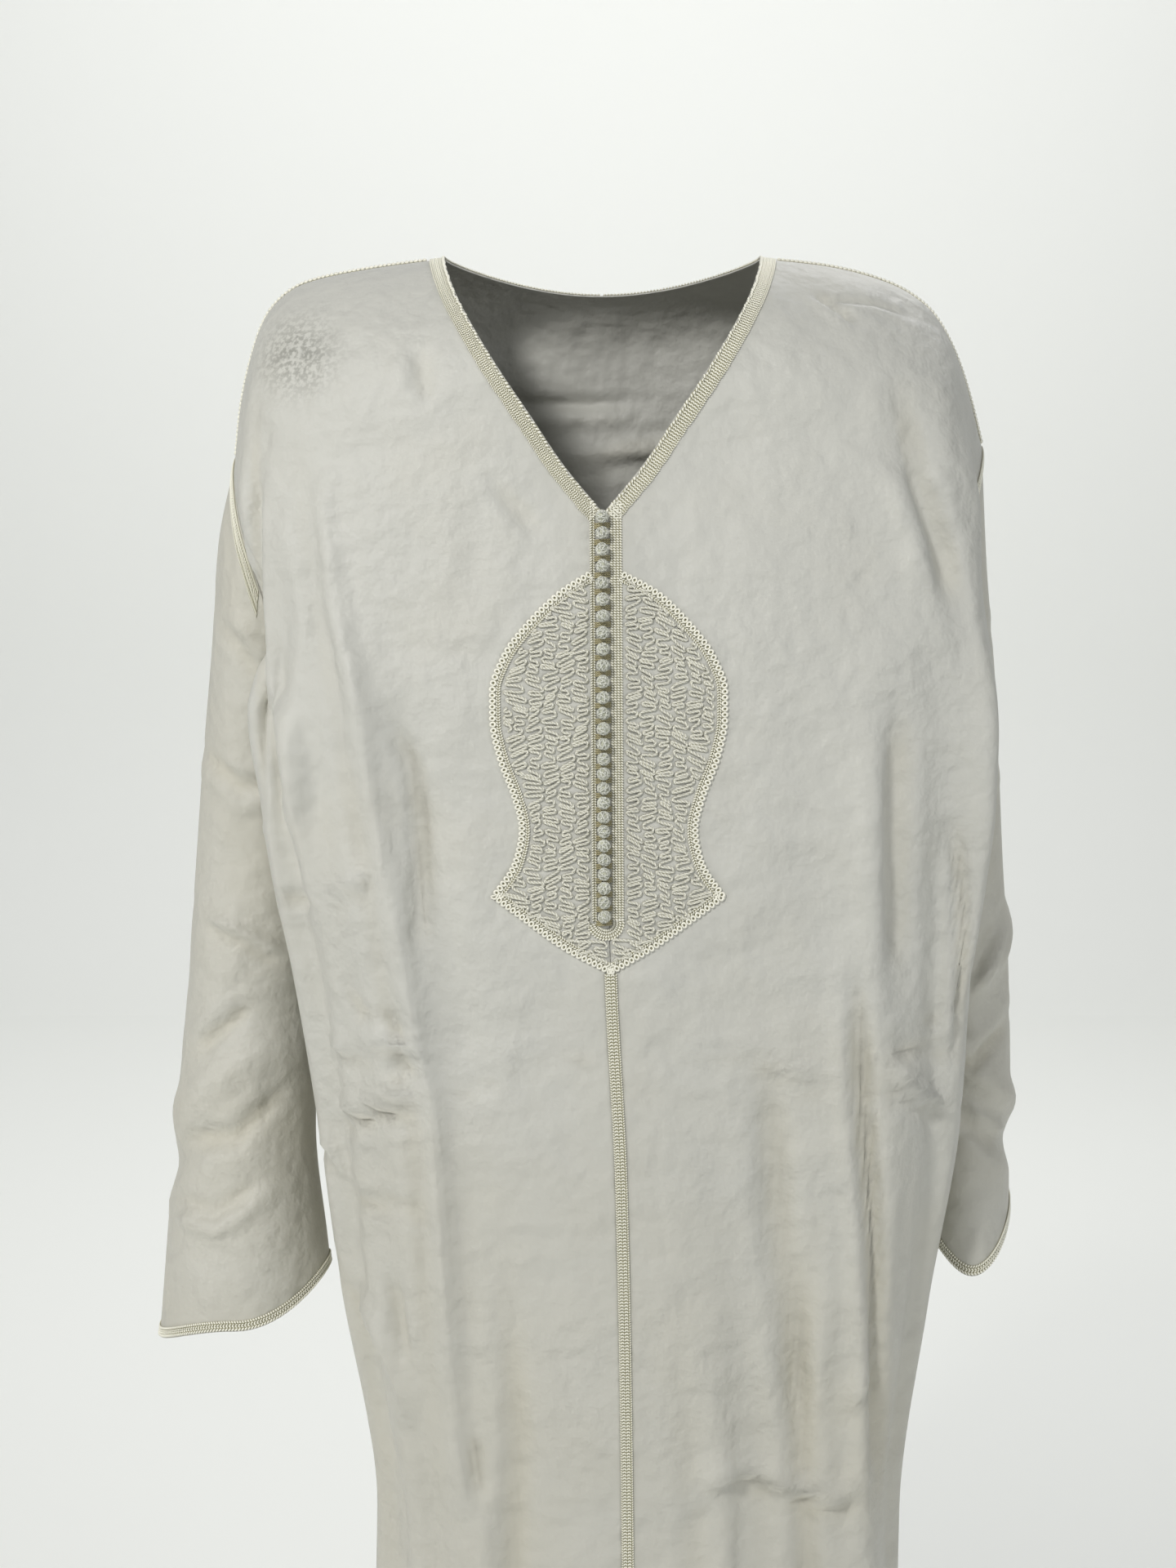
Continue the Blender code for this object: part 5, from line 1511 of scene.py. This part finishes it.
class ROBE_OT_placket(Operator):
    """Models the two placket braids and the cords between the buttons"""

    bl_idname = "robe.placket"
    bl_label = "Placket braids and loops"

    def execute(self, context):
        looks = finishes()
        front = front_patch()
        outer = (PLACKET_EDGES[LEFT][1] - PLACKET_EDGES[RIGHT][0]) / 2
        turn_z = SLIT_END_Z + outer
        for side in (RIGHT, LEFT):
            near, far = PLACKET_EDGES[side]
            z = np.linspace(-0.1605, turn_z, 110)
            line = np.stack((button_x(z) + near, z), axis=-1)
            if side == LEFT:
                turn = np.radians(np.linspace(3, 176, 44))
                middle = button_x(turn_z) + far - outer
                narrow = PLACKET_EDGES[RIGHT][1] - PLACKET_EDGES[RIGHT][0]
                radius = outer - (far - near) - (narrow - (far - near)) * turn / np.pi
                bend = np.stack((middle + radius * np.cos(turn), turn_z - radius * np.sin(turn)), -1)
                line = np.concatenate((line, bend))
            strip = front_strip(front, line, np.linspace(0, far - near, 4))
            name = f"placket_braid_{SIDE_NAMES[side]}"
            settled(braid(f"{name}_rows", strip, PLACKET_ROWS[side], looks["ivory_braid"]), "braid", name)
        settled(joined("loop_cords", loop_meshes(front), looks["loop_cord"]), "braid", "button_loops")
        return {"FINISHED"}


def loop_meshes(front):
    """Short cords across the gap under each button, three side by side."""
    heights = button_heights()
    gaps = -np.diff(heights)
    reach = LOOPS_WIDTH / 2 + 0.0012
    share = np.linspace(-1, 1, 9)
    meshes = []
    for z, gap in zip(heights, np.append(gaps, gaps[-1])):
        for step in (-0.0012, 0.0, 0.0012):
            x = button_x(z) + share * reach
            lift = 0.0012 + 0.0012 * (1 - share**2)
            path = xyz(x, z - gap / 2 + step + 0.0004 * share, lift)
            meshes.append(cord("loop", path, np.array([[0.0, 0.0, 1.0]]), 0.00062, 5, front))
    return meshes


class ROBE_OT_plastron(Operator):
    """Models the plastron's meandering cord, its twin line and its looped edge"""

    bl_idname = "robe.plastron"
    bl_label = "Plastron"

    def execute(self, context):
        looks = finishes()
        front = front_patch()
        for side in (RIGHT, LEFT):
            name = f"plastron_{SIDE_NAMES[side]}"
            made = joined(f"{name}_cords", meander_meshes(side, front), looks["ivory_cord"])
            settled(made, "braid", name)
            edge = plastron_line(side)
            turned = edge if side == RIGHT else edge[::-1]
            strip = front_strip(front, turned, np.linspace(0, 0.0080, 6))
            meshes = [strip.bend(picot_row(strip.length)), *row_meshes(strip, TWIN_ROWS)]
            meshes.append(strip.bend(shade_strip([PICOT_SHADE], strip.length)))
            name = f"plastron_edge_{SIDE_NAMES[side]}"
            settled(joined(f"{name}_loops", meshes, looks["ivory_braid"]), "braid", name)
        return {"FINISHED"}


# A strip under the picot loops that takes the painted shade colour, so that their holes show dark.
PICOT_SHADE = Row(None, 0.0027, 0.0028, 0, 0, 0, 0)


def picot_row(length):
    """Small round loops of cord side by side along the plastron's edge."""
    pitch = bpy.context.scene.robe_braid.picot_pitch
    count = round(length / pitch)
    bm = bmesh.new()
    ring = bmesh.ops.create_circle(bm, segments=5, radius=0.00060)["verts"]
    bmesh.ops.rotate(bm, cent=(0, 0, 0), matrix=Matrix.Rotation(math.pi / 2, 3, "X"), verts=ring)
    bmesh.ops.translate(bm, vec=(0.00125, 0, 0), verts=ring)
    bmesh.ops.spin(
        bm, geom=bm.verts[:] + bm.edges[:], cent=(0, 0, 0), axis=(0, 0, 1),
        angle=2 * math.pi, steps=12, use_merge=True,
    )
    bmesh.ops.recalc_face_normals(bm, faces=bm.faces)
    bmesh.ops.scale(bm, vec=(1, 1.25, 1), verts=bm.verts)
    bmesh.ops.translate(bm, vec=(pitch / 2, 0.0021, 0.0010), verts=bm.verts)
    return strung(bm, count, length / count)


def plastron_line(side):
    """The plastron's edge in front, smooth between its corners, from its top to its foot."""
    start = np.array((button_x(PLASTRON_TOP_Z) + side_edge(side), PLASTRON_TOP_Z))
    foot = np.array((at_height(MIDDLE, PLASTRON_FOOT_Z).lean + side * SEAM_GAP / 2, PLASTRON_FOOT_Z))
    bends = [np.array((PLASTRON_MIDDLE + side * e.x, e.z)) for e in PLASTRON_OUTLINE]
    corner = min(range(len(bends)), key=lambda i: (bends[i][1] > -0.40, -side * bends[i][0]))
    runs = [[start, *bends[: corner + 1]], [*bends[corner:], foot]]
    line = []
    for run in runs:
        run = np.array(run)
        stops = lengths(run)
        at = np.linspace(0, stops[-1], max(8, round(stops[-1] / 0.003)))
        line.append(np.stack([through(stops, run[:, axis], at) for axis in (0, 1)], axis=-1))
    return np.concatenate((line[0], line[1][1:]))


def meander_meshes(side, front):
    """The worm-like cord that fills one half of the plastron, as columns of hairpin bends."""
    sizes = bpy.context.scene.robe_braid
    radius, width, wave = sizes.cord_radius, sizes.column_width, sizes.wave_length
    z = np.linspace(PLASTRON_TOP_Z - 0.004, PLASTRON_FOOT_Z + 0.006, 600)
    edge = plastron_line(side)
    far = np.interp(-z, -edge[:, 1], side * edge[:, 0]) - 0.0085
    near = side * (button_x(z) + side_edge(side)) + radius * 0.5
    under = z < SLIT_END_Z - 0.002
    near = np.where(under, side * at_height(MIDDLE, z).lean + radius, near)
    meshes = []
    for k in range(8):
        sway = 0.0016 * np.sin(z * 2 * np.pi / 0.031 + 1.7 * k) * (k > 0)
        next_sway = 0.0016 * np.sin(z * 2 * np.pi / 0.031 + 1.7 * (k + 1))
        inner = near + k * width + sway
        outer = near + (k + 1) * width + next_sway
        outer = np.where(far - outer < 0.0050, far, outer)
        room = np.minimum(outer, far) - inner
        for first, last in stretches(room > 0.0050):
            if z[first] - z[last - 1] > 0.006:
                rows = slice(first, last)
                meshes.append(column_mesh(side, front, k, z[rows], inner[rows], outer[rows], radius, wave))
    return meshes


def stretches(mask):
    """The runs of true values, as pairs of first and one past the last."""
    steps = np.flatnonzero(np.diff(np.concatenate(([0], mask.astype(int), [0]))))
    return list(zip(steps[::2], steps[1::2]))


def column_mesh(side, front, k, z, inner, outer, radius, wave):
    """One column of hairpins: the cord swings from side to side while it comes down."""
    fall = z[0] - z[-1]
    turns = round(fall / wave)
    phase = np.linspace(0, 2 * np.pi * turns, turns * 18 + 1)
    even = phase / phase[-1]
    drift = 0.0007 * np.sin(phase * 0.23 + 2.1 * k) + 0.0005 * np.sin(phase * 0.61 + k)
    level = z[0] - fall * even + drift * smooth(even / 0.05) * smooth((1 - even) / 0.05)
    low, high = (np.interp(-level, -z, edge) for edge in (inner, outer))
    half = (high - low) / 2 - radius * 0.85
    spare = 0.14 * (0.5 + 0.5 * np.sin(phase * 0.37 + 1.3 * k))
    middle = (high + low) / 2 + half * spare * np.sin(phase * 0.19 + k)
    swing = half * (1 - spare)
    slant = 0.42 * np.sin(level * 2 * np.pi / 0.058 + 1.9 * k + (side > 0)) - 0.10
    x = middle + swing * np.sin(phase)
    bulge = wave * 0.085 * np.sin(2 * phase)
    flat = xyz(side * x, level + bulge + slant * (x - middle), radius * 0.9 + 0 * x)
    return cord("meander", flat, np.array([[0.0, 0.0, 1.0]]), radius, 6, front)


class ROBE_OT_buttons(Operator):
    """Models the row of knotted buttons"""

    bl_idname = "robe.buttons"
    bl_label = "Knotted buttons"

    def execute(self, context):
        front = front_patch()
        heights = button_heights()
        points, outs = front.at(-heights, button_x(heights))
        seat = LAY_GAP + LOOPS_WALL + SEAM_GAP + BUTTON_DIAMETER / 2
        meshes = []
        for i, (point, out) in enumerate(zip(points, outs)):
            turned = Vector(out).to_track_quat("Z", "X").to_matrix() @ Matrix.Rotation(1.9 * i, 3, "Z")
            turned = turned @ Matrix.Rotation(1.3 + 0.5 * math.sin(2.3 * i), 3, "X")
            meshes += [placed(mesh, turned, Vector(point + out * seat)) for mesh in knot_meshes()]
        made = joined("button_knots", meshes, finishes()["knot_cord"])
        settled(made, "knots", *(f"button_{i + 1:02d}" for i in range(BUTTON_COUNT)))
        return {"FINISHED"}


def placed(mesh, turned, place):
    mesh.transform(Matrix.Translation(place) @ turned.to_4x4())
    return mesh


# The knot's cord: its windings and how far it swings from the ball's middle, and as shares of
# the ball's radius, how far out it lies, how much it dips at a crossing and its own radius
KNOT_WINDINGS = 4
KNOT_SWING = math.radians(66)
KNOT_OUT, KNOT_DIP, KNOT_CORD = 0.86, 0.035, 0.15


def knot_meshes():
    """A ball and the cord that winds over it, four times round with several bights."""
    radius = BUTTON_DIAMETER / 2
    bm = bmesh.new()
    # The ball has no height value, so it takes the knot's painted shade colour where it shows between the
    # cords.
    bmesh.ops.create_uvsphere(bm, u_segments=12, v_segments=8, radius=radius * 0.82)
    ball = bpy.data.meshes.new("ball")
    bm.to_mesh(ball)
    bm.free()
    bights = bpy.context.scene.robe_buttons.bights
    turn = np.linspace(0, 2 * np.pi, bights * 22 + 1)
    rise = KNOT_SWING * np.sin(bights * turn)
    spin = KNOT_WINDINGS * turn
    out = radius * (KNOT_OUT + KNOT_DIP * np.cos(2 * bights * turn))
    ways = xyz(np.cos(rise) * np.cos(spin), np.cos(rise) * np.sin(spin), np.sin(rise))
    path = ways * out[:, None]
    return [ball, cord("knot", path, ways, radius * KNOT_CORD, 5)]


class ROBE_OT_stage(Operator):
    """Sets the floor, the backdrop, the lamps and the camera"""

    bl_idname = "robe.stage"
    bl_label = "Stage, lamps and camera"

    def execute(self, context):
        sizes = context.scene.robe_stage
        finish = Finish("backdrop", 0.9, 0.0)
        finish.set("Base Color", (*sizes.backdrop, 1))
        context.scene.view_settings.view_transform = "Standard"
        level = -ROBE_LENGTH - sizes.floor_drop
        whole = sum(STAGE_RUN)
        floor = linked("floor", stage_mesh(level, 0.0, STAGE_RUN[0]), finish.material)
        backdrop = linked("backdrop", stage_mesh(level, STAGE_RUN[0], whole), finish.material)
        for name, place, aim, size, power, colour in LAMPS:
            lamp = bpy.data.lights.new(name, "AREA")
            lamp.shape = "RECTANGLE"
            lamp.size, lamp.size_y = size
            lamp.energy = power
            lamp.color = colour
            made = bpy.data.objects.new(name, lamp)
            context.scene.collection.objects.link(made)
            made.location = place
            made.visible_camera = False
            made.rotation_euler = (Vector(aim) - Vector(place)).to_track_quat("-Z", "Y").to_euler()
        world = context.scene.world or bpy.data.worlds.new("World")
        context.scene.world = world
        world.use_nodes = True
        world.node_tree.nodes["Background"].inputs["Color"].default_value = (0.96, 0.98, 1.0, 1)
        world.node_tree.nodes["Background"].inputs["Strength"].default_value = WORLD_STRENGTH
        lens = bpy.data.cameras.new("camera")
        lens.sensor_fit = "VERTICAL"
        lens.sensor_height = 36.0
        lens.lens = 53.7
        camera = bpy.data.objects.new("camera", lens)
        context.scene.collection.objects.link(camera)
        camera.location = CAMERA_PLACE
        camera.rotation_euler = (math.radians(90 - CAMERA_DOWN), 0, 0)
        context.scene.camera = camera
        return {"FINISHED"}


CAMERA_PLACE = (-0.0095, -1.60, -0.158)
CAMERA_DOWN = 7.0
WORLD_STRENGTH = 0.21
# Each lamp's place, what it points at, its size, power and colour
LAMPS = [
    ("key_lamp", (-1.1, -2.1, 1.25), (0.0, 0.0, -0.35), (0.4, 0.4), 40, (1.0, 0.99, 0.97)),
    ("fill_lamp", (1.9, -1.8, 0.2), (0.0, 0.0, -0.5), (1.0, 1.0), 15, (0.98, 0.99, 1.0)),
    ("side_lamp", (-2.2, -1.0, -0.2), (-0.2, 0.0, -0.6), (0.8, 1.2), 11, (1.0, 0.99, 0.96)),
    ("back_lamp", (0.8, 1.6, 1.4), (0.0, 0.0, -0.5), (1.2, 1.2), 14, (1.0, 1.0, 1.0)),
    ("wall_lamp", (0.0, 2.0, 2.4), (0.0, 5.0, -0.6), (5.0, 2.0), 105, (1.0, 1.0, 1.0)),
]


# The floor's front edge, the bend's radius, and the lengths of the floor, the bend and the wall
STAGE_FRONT = -5.0
STAGE_BEND = 0.8
STAGE_WIDTH = 16.0
STAGE_RUN = (9.2, STAGE_BEND * math.pi / 2, 3.4)


def stage_mesh(level, first, last):
    """A stretch of the sheet that lies on the floor and curves up into a wall behind the robe."""
    bm = bmesh.new()
    bmesh.ops.create_grid(bm, x_segments=1, y_segments=32, size=0.5)
    for vert in bm.verts:
        at = first + (vert.co.y + 0.5) * (last - first)
        turn = min(max(at - STAGE_RUN[0], 0) / STAGE_BEND, math.pi / 2)
        y = STAGE_FRONT + min(at, STAGE_RUN[0]) + STAGE_BEND * math.sin(turn)
        z = level + STAGE_BEND * (1 - math.cos(turn)) + max(at - STAGE_RUN[0] - STAGE_RUN[1], 0)
        vert.co = (vert.co.x * STAGE_WIDTH, y, z)
    for face in bm.faces:
        face.smooth = True
    mesh = bpy.data.meshes.new("stage")
    bm.to_mesh(mesh)
    bm.free()
    return mesh


class ROBE_PT_tools(Panel):
    """Lists the robe's pieces in the sidebar"""

    bl_idname = "ROBE_PT_tools"
    bl_label = "Robe"
    bl_space_type = "VIEW_3D"
    bl_region_type = "UI"
    bl_category = "Robe"

    def draw(self, context):
        for operator in OPERATORS:
            self.layout.operator(operator.bl_idname)
        for group in SIZES:
            sizes = getattr(context.scene, group)
            for name in sizes.bl_rna.properties.keys():
                if name not in ("name", "rna_type"):
                    self.layout.prop(sizes, name)


SIZES = {
    "robe_cloth": RobeCloth,
    "robe_braid": RobeBraid,
    "robe_buttons": RobeButtons,
    "robe_stage": RobeStage,
}
OPERATORS = (
    ROBE_OT_body,
    ROBE_OT_sleeves,
    ROBE_OT_neck_braids,
    ROBE_OT_seam_braids,
    ROBE_OT_placket,
    ROBE_OT_plastron,
    ROBE_OT_buttons,
    ROBE_OT_stage,
)


def register():
    for cls in (*SIZES.values(), *OPERATORS, ROBE_PT_tools):
        bpy.utils.register_class(cls)
    for name, cls in SIZES.items():
        setattr(bpy.types.Scene, name, PointerProperty(type=cls))


def unregister():
    for name in SIZES:
        delattr(bpy.types.Scene, name)
    for cls in (ROBE_PT_tools, *reversed(OPERATORS), *reversed(SIZES.values())):
        bpy.utils.unregister_class(cls)


def main():
    register()
    bpy.ops.robe.body()
    bpy.ops.robe.sleeves()
    bpy.ops.robe.neck_braids()
    bpy.ops.robe.seam_braids()
    bpy.ops.robe.placket()
    bpy.ops.robe.plastron()
    bpy.ops.robe.buttons()
    bpy.ops.robe.stage()
    bpy.context.view_layer.update()


if __name__ == "__main__":
    main()
